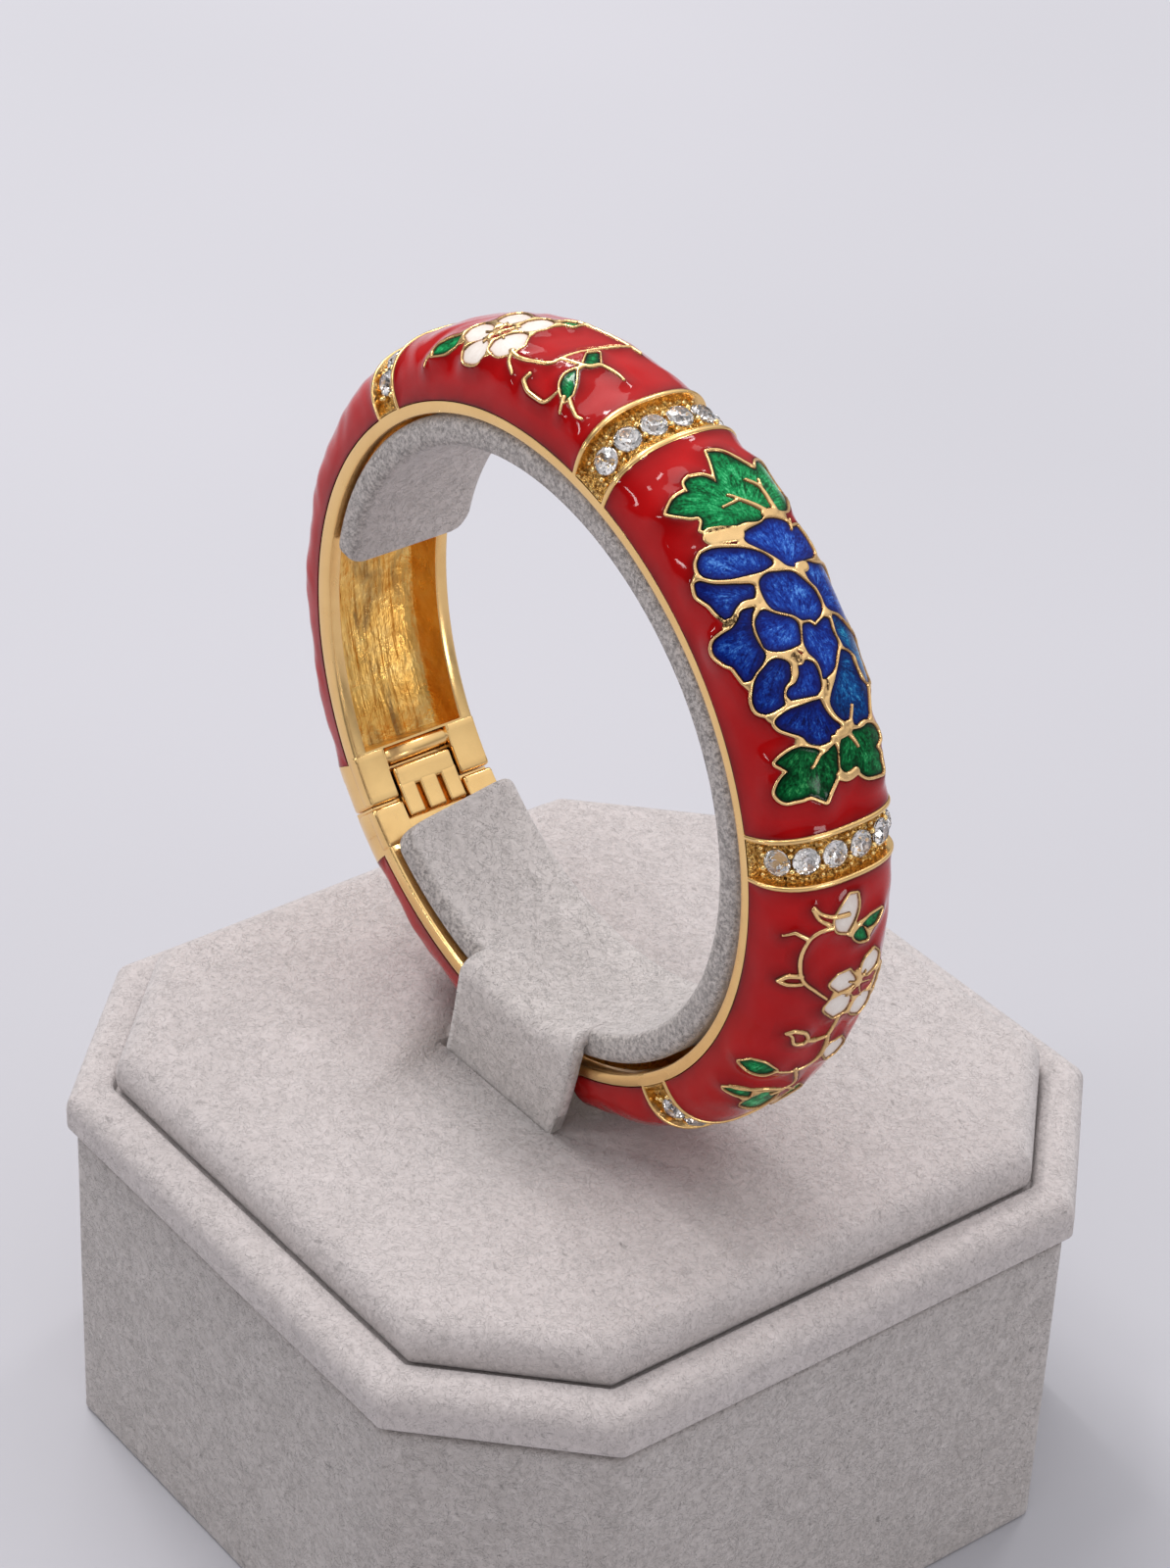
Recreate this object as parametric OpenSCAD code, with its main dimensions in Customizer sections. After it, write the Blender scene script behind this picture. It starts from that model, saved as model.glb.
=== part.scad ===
// Hinged cuff bangle, cast and gilded, with enamel fields, standing on its display stand.
// Millimetres. X to the right and Y away along the axis of the bangle, Z up.
// The origin is the middle of the foot of the stand.
// Angles round the bangle are those of the outward normal, from +X towards +Z.

/* [Stand] */
// half of the stand's pad from left to right
pad_half_x = 32.6; // [30:0.2:36]
// half of the stand's pad from front to back
pad_half_y = 33.2; // [31:0.2:36]
// cut corner of the pad
pad_corner = 11.3; // [8:0.1:14]
// height of the raised pad
pad_h = 3.5; // [3:0.1:5]
// ledge of the rim round the pad
rim_ledge = 4.1; // [3:0.1:6]
// thickness of the rim board
rim_h = 4.2; // [3:0.1:6]
// how far the rim stands out over the wall
rim_over = 0.8; // [0.4:0.1:1.5]
// height of the wall block
wall_h = 31.3; // [26:0.1:40]

/* [Bangle] */
// radius of the wrist hole at the ends of its long way
hole_end_r = 25.9; // [25.4:0.1:26.6]
// width of the band along the axis
band_w = 12.4; // [11:0.1:14]
// flat gold side of the band
side_h = 1.09; // [0.8:0.01:1.5]
// rise of the domed outside above the flat sides
dome_h = 5.0; // [4:0.1:6]
// roundness of the dome, two for an ellipse
dome_power = 2.5; // [2:0.1:3]
// depth of the enamel
enamel_t = 0.5; // [0.4:0.05:0.7]
// depth of the hollow in the back of the band
hollow_h = 3.0; // [2:0.1:3.4]
// width of the rails along both sides of the hollow
rail_w = 1.3; // [1:0.1:2]
// small gap round inlaid pieces
seat = 0.05; // [0.03:0.01:0.08]
// width of the gold lines round the petals
line_w = 0.34; // [0.3:0.02:0.5]

/* [Stones] */
// width of a stone
stone_d = 2.15; // [1.8:0.05:2.3]
// spacing of the stones across the band
stone_pitch = 2.6; // [2.35:0.05:2.65]

/* [Collar] */
// thickness of the collar strap
strap_t = 2.6; // [1.6:0.1:2.8]
// gap between the strap and the band at the sides
strap_gap = 0.45; // [0.4:0.05:1]
// how far the strap is pushed up, so that the bangle hangs on it
strap_up = 0.25; // [0.1:0.05:0.35]
// width of the strap along the axis
strap_w = 12.2; // [11:0.1:13]
// thickness of the neck tab
tab_t = 1.1; // [0.9:0.1:1.3]

/* [Part] */
// node to draw, or all

/* [Hidden] */
$fn = 96;

suede = [0.77, 0.73, 0.71];
gilt = [0.86, 0.68, 0.36];
red = [0.62, 0.05, 0.06];
blue = [0.12, 0.18, 0.62];
green = [0.03, 0.40, 0.18];
white = [0.93, 0.90, 0.90];
crystal = [0.90, 0.93, 0.96];

rim_z = wall_h;
pad_z = wall_h + rim_h;
top_z = pad_z + pad_h;
// middle of the bangle over the middle of the stand
ring_x = 0.5;
ring_y = -1.9;
ring_z = top_z + 33.05;

// The oval hole is arcs of three radii, joined at quarters and eighths of a turn.
// how much flatter the shoulder arcs are than the ends
flat_a = 1.36;
// shift of centre from the shoulder arcs to the flattest arcs, both ways, and the radius that it adds
flat_b = 1.6646;
flat_c = 2.3541;
end_c = [(flat_a + flat_b) / 2, (flat_b - flat_a - flat_c) / 2];
low_c = end_c - [flat_a, 0];
mid_c = low_c - [flat_b, flat_b];
// rows: centre, radius, first angle, last angle
function arc_row(c, r, lo, hi) = [c[0], c[1], r, lo, hi];
ARCS = [
    arc_row(-mid_c, hole_end_r + flat_a + flat_c, -135, -90),
    arc_row(end_c, hole_end_r, -90, 0),
    arc_row(low_c, hole_end_r + flat_a, 0, 45),
    arc_row(mid_c, hole_end_r + flat_a + flat_c, 45, 90),
    arc_row(-end_c, hole_end_r, 90, 180),
    arc_row(-low_c, hole_end_r + flat_a, 180, 225),
    arc_row(-mid_c, hole_end_r + flat_a + flat_c, 225, 270),
];
function arc_of(a) = [for (k = ARCS) if (a >= k[3] && a <= k[4]) k][0];

// angles round the bangle
bar_mid = [130.5, 74.1, 12.6, -50.6];
bar_half = 3.85;
border = 0.75;
front_end = -78;
arm_end = 259;
hinge_wall = 209.5;
hinge_bar = 213.4;
ear_from = 216.2;
tongue_from = 216.8;
ear_to = 221.5;
butt_to = 222.05;
hinge_out = 229.5;
arm_block = 228;
pin_a = 219.5;
pin_e = 3;
pin_r = 0.6;
tongue_half = 3;
ear_half = 3.2;
hinge_drop = 0.7;

// outside of the dome: y across and e outward from the oval
dome_n = 20;
function dome_y(t, w) = w / 2 * sign(sin(t)) * pow(abs(sin(t)), 2 / dome_power);
function dome_pt(t, w, h) = [dome_y(t, w), side_h + h * pow(abs(cos(t)), 2 / dome_power)];
function dome(w, h, n = dome_n) = [for (i = [0:n]) dome_pt(-90 + 180 * i / n, w, h)];
// tables from the length along the dome to y and e
fine = dome(band_w, dome_h, 96);
function run(i) = i == 0 ? 0 : run(i - 1) + norm(fine[i] - fine[i - 1]);
runs = [for (i = [0:96]) run(i)];
half_run = runs[96] / 2;
to_y = [for (i = [0:96]) [runs[i] - half_run, fine[i][0]]];
to_e = [for (i = [0:96]) [runs[i] - half_run, fine[i][1]]];

// a point of the outside, and its three directions: along, across and outward
function spot(a, v) = let (k = arc_of(a), r = k[2] + lookup(v, to_e))
    [k[0] + r * cos(a), lookup(v, to_y), k[1] + r * sin(a)];
function along(a) = [-sin(a), 0, cos(a)];
function slope(v) = [lookup(v + 0.1, to_y) - lookup(v - 0.1, to_y),
    lookup(v + 0.1, to_e) - lookup(v - 0.1, to_e)];
function across(a, v) = let (d = slope(v), n = norm(d))
    [d[1] / n * cos(a), d[0] / n, d[1] / n * sin(a)];
function outward(a, v) = -cross(along(a), across(a, v));
function flat_pt(p, a, v) = let (d = spot(p[0], p[1]) - spot(a, v)) [d * along(a), d * across(a, v)];

// an outline on the band, rounded through its points
function wrap(p, i) = p[(i + len(p)) % len(p)];
function mid_pt(p, i) = (9 * (wrap(p, i) + wrap(p, i + 1)) - wrap(p, i - 1) - wrap(p, i + 2)) / 16;
function rounded(p) = [for (i = [0:len(p) - 1]) each [p[i], mid_pt(p, i)]];
function middle(p, i = 0) = i == len(p) - 1 ? p[i] / len(p) : p[i] / len(p) + middle(p, i + 1);
function area2(p) = [for (i = [0:len(p) - 1]) cross(p[i], wrap(p, i + 1))] * [for (i = p) 1];
// the same outline grown by d
function grown(p, d) = let (s = sign(area2(p))) [for (i = [0:len(p) - 1])
    let (t = wrap(p, i + 1) - wrap(p, i - 1), n = norm(t)) p[i] + s * d * [t[1], -t[0]] / n];

// Ornament: each row is an outline of [angle, length across the dome].
PETALS = [
    [[55.6, -1], [56.4, 1.5], [56.1, 2.4], [54.5, 3.3], [54.7, 4.3], [52.6, 4.8], [51.1, 4.8],
     [50.4, 4.1], [50.2, 2.7], [49.8, 1.7], [50.3, 1.1], [54.6, -1.1]],
    [[54.8, -5], [55.5, -4.5], [55.4, -3.7], [53.8, -1.4], [52.6, -0.5], [51.5, 0.1], [50.9, 0],
     [50.6, -1], [50.8, -2.2], [51.2, -3.5], [52, -4.5], [53, -5.1], [53.9, -5.2]],
    [[52.7, -5.9], [52.6, -5.5], [51.4, -4.7], [49.5, -2.3], [48.8, -2.3], [48, -2.6], [48.2, -3.4],
     [47.8, -4.1], [47.1, -4.6], [47.1, -5.1], [51.4, -6.1]],
    [[49.4, -1.7], [50.1, -0.9], [49.3, 1.3], [47.9, 2], [46.4, 2.5], [44.6, 2.6], [43.4, 2.2],
     [42.7, 1.3], [43.2, 1], [43.5, 0.3], [46.1, -1.7], [47.6, -1.9]],
    [[49.8, 2.9], [49.9, 3.3], [49.2, 5.6], [48.6, 6.2], [47, 6.4], [42, 6.4], [39.1, 6.3],
     [42.9, 3.9], [43.5, 3.2], [44.2, 2.9], [46.6, 2.8], [48.4, 2.4], [49.2, 2.5]],
    [[47.1, -3.5], [46.9, -2.9], [45, -3.6], [43.6, -3.7], [41.1, -3.5], [40.1, -3.9], [38.7, -5],
     [38.7, -5.5], [41.1, -5.9], [41.8, -6.3], [43.3, -6.8], [44.4, -6.8], [45.2, -6.4], [45.7, -4.9],
     [47, -3.9]],
    [[46.1, -2.2], [44.2, -0.7], [43.4, -0.2], [40.7, -0.6], [40.6, -1.7], [40.9, -2.6], [41.7, -3.3],
     [42.9, -3.4], [45.4, -3.2], [46.2, -2.6]],
    [[42.6, 0.1], [42.9, 0.3], [42.1, 1.2], [42.8, 2.3], [42.5, 2.7], [38.8, 2.6], [36.3, 1.5],
     [35.6, 0.5], [35.7, 0.2], [38.1, 0.2], [40, -0.3], [40.9, -0.3]],
    [[40, -3.3], [39.9, -2.7], [39, -2.1], [37.8, -2.2], [36.9, -2.5], [36.3, -3], [34.3, -3.4],
     [33.9, -4.1], [33.8, -4.8], [34.5, -5.3], [35.8, -5.4], [37.3, -5.1], [38.7, -4.6]],
    [[38.4, -1.4], [38.5, -0.6], [37.8, -0.1], [36.3, -0.1], [34.7, -0.2], [34, -0.7], [34.5, -2.8],
     [35.3, -2.9], [36, -2.7], [36.3, -2.1], [37.2, -1.6]],
    [[32.6, -4.3], [33.3, -3.4], [33.4, -1.3], [33.3, -0.6], [31.8, -0.4], [29.3, 0.5], [28.6, 0.3],
     [28.6, -0.5], [27.9, -0.7], [28.6, -2.4], [29.7, -2.8], [31.6, -4.2]],
    [[38.2, 2.8], [37.1, 3.7], [33.7, 4], [32.6, 4.6], [29.1, 3.7], [28.7, 3.4], [28.9, 2.8],
     [28.6, 2.1], [29.7, 1.8], [29.7, 1], [30.4, 0.6], [31.4, 0.3], [32.5, 0.2], [33.7, 0.6]],
    [[42.8, 3.3], [42.5, 3.7], [40.2, 5], [39.2, 5.9], [37.8, 6.4], [36.4, 6.4], [33.6, 6.3],
     [32.7, 5.3], [33.3, 4.6], [34.3, 4.3], [37.6, 3.8], [38.6, 3.1], [39.5, 3], [42.5, 3.1]],
];
PEONY_LEAVES = [
    [[62.2, -5], [63.2, -3.6], [64.4, -2.6], [64.2, -1.4], [62.6, -0.8], [60.8, -0.3], [59, 0.5],
     [57.3, 1.2], [56.7, 0.5], [56.9, -1.2], [57.6, -3], [59.6, -3.2], [61, -4.4]],
    [[63.2, -0.3], [65.6, 0], [66.8, 0.4], [65.9, 1.6], [63.6, 2.8], [61.6, 2.5], [59.6, 2.4],
     [57.8, 2.1], [58.8, 1.3], [60.6, 0.4]],
    [[62.6, 3.4], [64.2, 4.3], [64, 5.6], [61.4, 5.9], [59.6, 5.6], [57.5, 3.7], [59.6, 3.3],
     [61, 3.3]],
    [[27.3, -5], [28.3, -3.9], [28.4, -3.2], [26.7, -1.3], [27.3, -0.4], [26.3, -0.3], [23.9, -0.6],
     [20.7, -2], [21.8, -2.9], [21.9, -4.9], [22.4, -5.3], [23.3, -5.5], [24.4, -5.2], [25.8, -4.3]],
    [[28, 0.6], [27.4, 0.2], [26.3, -0.1], [24.2, -0.2], [23.5, 0], [23.1, 0.3], [23.7, 1.2],
     [21.9, 1.9], [21.1, 3.9], [24.8, 3.6], [25.4, 4.5], [26.6, 4.4], [27.6, 3.9], [28.1, 3.1],
     [27.7, 1.2]],
];
TOP_PETALS = [
    [[109.5, -3.9], [109.7, -3.1], [108.6, -2.4], [106.2, -2.5], [104.9, -3.3], [105.4, -3.9],
     [107.4, -4.4]],
    [[106.1, -6], [107.1, -5.3], [106.4, -4.7], [104.8, -4.1], [103.2, -4.4], [102.5, -5.2],
     [103.3, -5.9]],
    [[102, -4.6], [102.2, -3.9], [101.5, -3.2], [100.1, -2.5], [98.5, -2.4], [97, -3.4], [97.7, -4.3],
     [99.7, -4.9]],
    [[101.4, -1.9], [102.3, -0.6], [101.3, 0.4], [98.9, 0.3], [98.2, -0.8], [99.1, -1.8]],
    [[106.9, -1.5], [107.8, -0.3], [106.7, 0.5], [103.6, 0.1], [103.1, -1], [104.3, -1.7]],
];
TOP_LEAVES = [
    [[115.1, -5.7], [114.3, -5], [112.5, -4.4], [110.4, -4], [110, -4.9], [111.8, -5.5]],
    [[98.4, 0.8], [98.4, 1.4], [96.5, 2.1], [96.4, 1.2]],
    [[84.1, -5.2], [86.1, -4.5], [86.8, -3.7], [86.6, -3], [84.9, -3.9], [84, -4.6]],
    [[86.8, -1.9], [88.2, -0.9], [87.8, -0.3], [85.8, -1.2]],
];
RIGHT_PETALS = [
    [[-7.1, -1.6], [-5.9, -1.1], [-5.9, -0.1], [-8.1, 0.7], [-8.9, 0.2], [-8.9, -0.7]],
    [[-11.8, -1.6], [-10.3, -1.3], [-10, -0.4], [-11.2, 0.6], [-13.4, 0.5], [-14, -0.5]],
    [[-14.6, 1.3], [-12.5, 1.4], [-11.7, 2], [-12.9, 3], [-15.2, 3.1], [-16.2, 2.4]],
    [[-7.1, 1.4], [-5.1, 1.5], [-4.1, 2.3], [-5.6, 3], [-7.2, 2.9], [-8, 2.1]],
    [[-11.4, 3.2], [-9.4, 3.4], [-8.2, 3.7], [-12.3, 3.5]],
];
RIGHT_LEAVES = [
    [[1.5, 0.8], [2.1, 1.5], [2.2, 2.7], [0.8, 2.1], [0.7, 1.4]],
    [[0.3, -0], [1.1, 0.4], [0.8, 0.8], [-1.2, 1.3], [-0.9, 0.6]],
    [[-25.2, -6.5], [-23.5, -5.8], [-23.4, -4.9], [-24.8, -3.8], [-25.9, -4.5], [-26, -5.5]],
    [[-33.1, -6.2], [-31.3, -5.3], [-31.1, -4.5], [-32.9, -4.3]],
    [[-36.2, -4], [-33.2, -3.9], [-31.3, -3.4], [-31.3, -2.1], [-34.7, -1.9], [-37.5, -2.3]],
    [[-41.8, 0.8], [-37.4, 0], [-34.6, 0.5], [-38.9, 1.9]],
];
BUDS = [
    [[2.1, -1.6], [3.8, -1.8], [5.5, -1.2], [6.6, -0.6], [6.4, 0], [4.7, 0.1], [3, -0.2], [1.4, -0.8]],
    [[-22.8, 0.3], [-21, 0.5], [-20.8, 1.4], [-23.1, 2.2], [-25, 1.9], [-25.5, 1.2]],
];

// turned part of the band over a range of angles
module sweep(from, to) {
    for (k = ARCS) {
        lo = max(from, k[3]);
        hi = min(to, k[4]);
        if (hi > lo + 0.01)
            translate([k[0], 0, k[1]]) rotate([90, 0, 0])
                rotate_extrude(start = lo, angle = hi - lo) translate([k[2], 0]) children();
    }
}
// profiles: outward along x, and across along y
function turned(p) = [for (q = p) [q[1], q[0]]];
module full_profile(drop = 0) {
    polygon(concat([[0, -band_w / 2]], turned(dome(band_w, dome_h - drop)), [[0, band_w / 2]]));
}
module hollow_profile() {
    half = band_w / 2 - rail_w;
    polygon([[-1, -half], [hollow_h - 0.8, -half], [hollow_h, -half + 1.4],
        [hollow_h, half - 1.4], [hollow_h - 0.8, half], [-1, half]]);
}
module core_profile() {
    polygon(concat([[0, -band_w / 2], [side_h, -band_w / 2]],
        turned(dome(band_w - 2 * enamel_t, dome_h - enamel_t)),
        [[side_h, band_w / 2], [0, band_w / 2]]));
}
module coat_profile(up = 0, down = 0) {
    outer = dome(band_w, dome_h + up);
    inner = dome(band_w - 2 * enamel_t + 2 * down, dome_h - enamel_t + down);
    polygon(concat([for (q = outer) [q[1] + seat, q[0]]],
        [for (i = [len(inner) - 1:-1:0]) [inner[i][1] + seat, inner[i][0]]]));
}
// a layer between the core and just over the outside, for the raised gold lines
module line_profile() {
    outer = dome(band_w, dome_h + 0.1);
    inner = dome(band_w - 2 * enamel_t - 0.2, dome_h - enamel_t - 0.1);
    polygon(concat(turned(outer), [for (i = [len(inner) - 1:-1:0]) [inner[i][1], inner[i][0]]]));
}

// everything of the bangle and its collar is drawn round the middle of the hole and set on the stand
module on_ring() translate([ring_x, ring_y, ring_z]) children();
// a straight pin of an outline through the band, square to it at [a, v]
module stamp(p, grow = 0) {
    c = middle(p);
    f = [for (q = p) flat_pt(q, c[0], c[1])];
    o = spot(c[0], c[1]);
    t = along(c[0]);
    b = across(c[0], c[1]);
    n = outward(c[0], c[1]);
    g = grow == 0 ? f : grown(f, grow);
    translate(o)
        multmatrix([[b[0], t[0], n[0], 0], [b[1], t[1], n[1], 0], [b[2], t[2], n[2], 0], [0, 0, 0, 1]])
            translate([0, 0, -1.6]) linear_extrude(3) polygon([for (q = g) [q[1], q[0]]]);
}
module stamps(rows, grow = 0) {
    for (p = rows) stamp(rounded(p), grow);
}
module inlay(rows, from, to) {
    intersection() {
        sweep(from, to) coat_profile(0, seat);
        stamps(rows, -seat);
    }
}
module lines(rows, from, to) {
    difference() {
        intersection() {
            sweep(from, to) line_profile();
            stamps(rows, line_w);
        }
        stamps(rows);
    }
}

// panels between the bars: first angle, last angle
LEFT = [bar_mid[0] + bar_half, hinge_bar];
TOP = [bar_mid[1] + bar_half, bar_mid[0] - bar_half];
PEONY = [bar_mid[2] + bar_half, bar_mid[1] - bar_half];
RIGHT = [bar_mid[3] + bar_half, bar_mid[2] - bar_half];
LOW = [front_end + 1.5, bar_mid[3] - bar_half];
ARM = [hinge_out, arm_end - 5.5];
slit = 0.09;

module red_field(p) {
    sweep(p[0] + slit, p[1] - slit) coat_profile(0, seat);
}
module bar_metal(m) {
    sweep(m - bar_half, m - bar_half + border) full_profile();
    sweep(m + bar_half - border, m + bar_half) full_profile();
    sweep(m - bar_half + border, m + bar_half - border) full_profile(0.75);
}

module bangle_frame() color(gilt) on_ring() {
    difference() {
        union() {
            for (p = [LOW, RIGHT, PEONY, TOP, LEFT]) sweep(p[0], p[1]) core_profile();
            for (m = bar_mid) bar_metal(m);
            sweep(front_end, front_end + 1.5) full_profile(0.3);
            sweep(hinge_bar, ear_from) full_profile(hinge_drop);
            difference() {
                sweep(ear_from, ear_to) full_profile(hinge_drop);
                sweep(ear_from, ear_to + 1) translate([-1, -ear_half]) square([9, 2 * ear_half]);
            }
        }
        sweep(front_end + 1.5, hinge_wall) hollow_profile();
        hinge_hole(0.62);
        for (i = [0:3]) for (j = [1:6]) stone_seat(i, j);
    }
    lines(concat(PETALS, PEONY_LEAVES), PEONY[0] + 1, PEONY[1] - 1);
    lines(concat(TOP_PETALS, TOP_LEAVES), TOP[0] + 1, TOP[1] - 1);
    lines(concat(RIGHT_PETALS, RIGHT_LEAVES, BUDS), RIGHT[0] + 1, RIGHT[1] - 1);
}
module hinge_hole(r) {
    k = arc_of(pin_a);
    translate([k[0] + (k[2] + pin_e) * cos(pin_a), band_w, k[1] + (k[2] + pin_e) * sin(pin_a)])
        rotate([90, 0, 0]) cylinder(h = 2 * band_w, r = r);
}
module hinge_pin() color(gilt) on_ring() {
    k = arc_of(pin_a);
    translate([k[0] + (k[2] + pin_e) * cos(pin_a), band_w / 2 - 0.7, k[1] + (k[2] + pin_e) * sin(pin_a)])
        rotate([90, 0, 0]) cylinder(h = band_w - 1.4, r = pin_r);
}
module rear_arm() color(gilt) on_ring() {
    difference() {
        union() {
            sweep(tongue_from, butt_to) intersection() {
                full_profile(hinge_drop);
                translate([0, -tongue_half]) square([dome_h + side_h - hinge_drop - 0.4, 2 * tongue_half]);
            }
            sweep(butt_to, hinge_out) full_profile(hinge_drop);
            sweep(hinge_out, ARM[1]) core_profile();
            sweep(ARM[1], ARM[1] + 2) full_profile(0.6);
            sweep(ARM[1] + 2, ARM[1] + 4) full_profile(1.3);
            sweep(ARM[1] + 4, arm_end) full_profile(2.2);
        }
        sweep(arm_block, arm_end - 1.5) hollow_profile();
        hinge_hole(0.66);
        for (y = [-1.1, 1.1]) sweep(ear_to - 0.5, 225.5) translate([-1, y - 0.35]) square([1.9, 0.7]);
        for (y = [-1, 1]) sweep(butt_to - 1, 225.5) translate([-1, y * 3.3 - 0.2]) square([1.6, 0.4]);
        sweep(225.5, 226.3) translate([-1, -3.5]) square([1.6, 7]);
    }
}

// stones in four bars
function stone_v(j) = (j - 3.5) * stone_pitch;
module at_stone(i, j) {
    a = bar_mid[i];
    v = stone_v(j);
    o = spot(a, v);
    t = along(a);
    b = across(a, v);
    n = outward(a, v);
    translate(o)
        multmatrix([[b[0], t[0], n[0], 0], [b[1], t[1], n[1], 0], [b[2], t[2], n[2], 0], [0, 0, 0, 1]])
            children();
}
module stone_seat(i, j) {
    at_stone(i, j) translate([0, 0, -1.5]) cylinder(h = 3, r = stone_d / 2 + seat, $fn = 24);
}
module stone(i, j) color(crystal) on_ring() {
    r = stone_d / 2;
    at_stone(i, j) translate([0, 0, -0.55]) {
        cylinder(h = 0.12, r = r, $fn = 8);
        translate([0, 0, 0.12]) cylinder(h = 0.34, r1 = r, r2 = r * 0.58, $fn = 8);
        translate([0, 0, -0.8]) cylinder(h = 0.8, r1 = r * 0.12, r2 = r, $fn = 8);
    }
}

// stand
function cut_box(x, y, c) = [[-x, -y + c], [-x + c, -y], [x - c, -y], [x, -y + c],
    [x, y - c], [x - c, y], [-x + c, y], [-x, y - c]];
function grow_c(d) = pad_corner + 0.586 * d;
module block(d, z, h) {
    translate([0, 0, z]) linear_extrude(h) polygon(cut_box(pad_half_x + d, pad_half_y + d, grow_c(d)));
}
module stand_base() color(suede) block(rim_ledge - rim_over, 0, wall_h - 0.1);
module stand_rim() color(suede) block(rim_ledge, rim_z, rim_h - 0.1);
module stand_pad() color(suede) difference() {
    union() {
        block(0, pad_z, pad_h - 1.2);
        hull() {
            block(0, top_z - 1.3, 0.1);
            block(-0.45, top_z - 0.5, 0.1);
        }
        hull() {
            block(-0.45, top_z - 0.5, 0.1);
            block(-1.4, top_z - 0.1, 0.1);
        }
    }
    translate([-7.6 + ring_x, ring_y - 8.0, pad_z + 0.6]) cube([15.2, 1.5, pad_h]);
}

// collar: a strap bent to the hole, open at the left, with a neck tab into the pad
strap_from = -132.5;
strap_to = 171;
module strap_sweep(from, to) translate([0, 0, strap_up]) sweep(from, to) children();
module strap_profile() {
    translate([-strap_gap - strap_t, -strap_w / 2]) square([strap_t, strap_w]);
}
module strap_end(a, s) {
    // rounded corners of a free end, cut square to the strap
    k = arc_of(a);
    r = 2.6;
    translate([k[0], 0, k[1] + strap_up]) rotate([0, -a, 0])
        for (m = [0, 1]) mirror([0, m, 0]) translate([k[2] - 6, strap_w / 2 - r, s * -r]) rotate([0, 90, 0])
            linear_extrude(8) difference() {
                translate([s > 0 ? -r - 1 : 0, 0]) square([r + 1, r + 1]);
                rotate(15) circle(r = r * 1.03, $fn = 12);
            }
}
module collar() color(suede) on_ring() {
    difference() {
        strap_sweep(strap_from, strap_to) strap_profile();
        strap_end(strap_to, 1);
        strap_end(strap_from, -1);
    }
    intersection() {
        strap_sweep(-118, -55) tab_profile();
        translate([0, 5, 0]) rotate([90, 0, 0]) linear_extrude(20)
            polygon([[-7.4, -35.6], [7.2, -35.6], [7.2, -32.5], [9.6, -26],
                [9.6, -18], [-6.9, -18], [-7.4, -30]]);
    }
}
// section of the neck tab: out of the strap's near edge, round a bend and down
function bend_arc(r, n = 8) = [for (i = [0:n]) r * [-cos(90 * i / n), sin(90 * i / n)]];
module tab_profile() {
    bend = 1.6;
    translate([bend + 0.2 - strap_gap - strap_t, strap_w / 2 + 0.1])
        polygon(concat([[-bend, -1]], bend_arc(bend), [[14, bend], [14, bend - tab_t]],
            [for (i = [8:-1:0]) bend_arc(bend - tab_t)[i]], [[tab_t - bend, -1]]));
}

stand_base();
stand_rim();
stand_pad();
collar();
bangle_frame();
rear_arm();
hinge_pin();
red_left();
red_top();
red_peony();
red_right();
red_low();
red_arm();
peony_petals();
peony_leaves();
blossom_top();
blossom_right();
buds();
leaves_top();
leaves_right();
stone(0, 1);  // stone_a1
stone(0, 2);  // stone_a2
stone(0, 3);  // stone_a3
stone(0, 4);  // stone_a4
stone(0, 5);  // stone_a5
stone(0, 6);  // stone_a6
stone(1, 1);  // stone_b1
stone(1, 2);  // stone_b2
stone(1, 3);  // stone_b3
stone(1, 4);  // stone_b4
stone(1, 5);  // stone_b5
stone(1, 6);  // stone_b6
stone(2, 1);  // stone_c1
stone(2, 2);  // stone_c2
stone(2, 3);  // stone_c3
stone(2, 4);  // stone_c4
stone(2, 5);  // stone_c5
stone(2, 6);  // stone_c6
stone(3, 1);  // stone_d1
stone(3, 2);  // stone_d2
stone(3, 3);  // stone_d3
stone(3, 4);  // stone_d4
stone(3, 5);  // stone_d5
stone(3, 6);  // stone_d6

module red_left() color(red) on_ring() red_field(LEFT);
module red_low() color(red) on_ring() red_field(LOW);
module red_arm() color(red) on_ring() red_field(ARM);
module red_top() color(red) on_ring() difference() {
    red_field(TOP);
    stamps(concat(TOP_PETALS, TOP_LEAVES), line_w + seat);
}
module red_peony() color(red) on_ring() difference() {
    red_field(PEONY);
    stamps(concat(PETALS, PEONY_LEAVES), line_w + seat);
}
module red_right() color(red) on_ring() difference() {
    red_field(RIGHT);
    stamps(concat(RIGHT_PETALS, RIGHT_LEAVES, BUDS), line_w + seat);
}
module peony_petals() color(blue) on_ring() inlay(PETALS, PEONY[0] + 2, PEONY[1] - 2);
module peony_leaves() color(green) on_ring() inlay(PEONY_LEAVES, PEONY[0] + 2, PEONY[1] - 2);
module blossom_top() color(white) on_ring() inlay(TOP_PETALS, TOP[0] + 2, TOP[1] - 2);
module blossom_right() color(white) on_ring() inlay(RIGHT_PETALS, RIGHT[0] + 2, RIGHT[1] - 2);
module buds() color(white) on_ring() inlay(BUDS, RIGHT[0] + 2, RIGHT[1] - 2);
module leaves_top() color(green) on_ring() inlay(TOP_LEAVES, TOP[0] + 2, TOP[1] - 2);
module leaves_right() color(green) on_ring() inlay(RIGHT_LEAVES, RIGHT[0] + 2, RIGHT[1] - 2);
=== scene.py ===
"""A hinged enamel cuff bangle on its octagonal display stand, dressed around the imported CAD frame.

Lengths in this file are millimetres until a mesh is made. The bangle is drawn in polar form:
a is the angle round the hole, v the length across the dome and h the height over it."""
import math

import bmesh
import bpy
import numpy as np
from mathutils import Matrix, Vector


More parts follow.
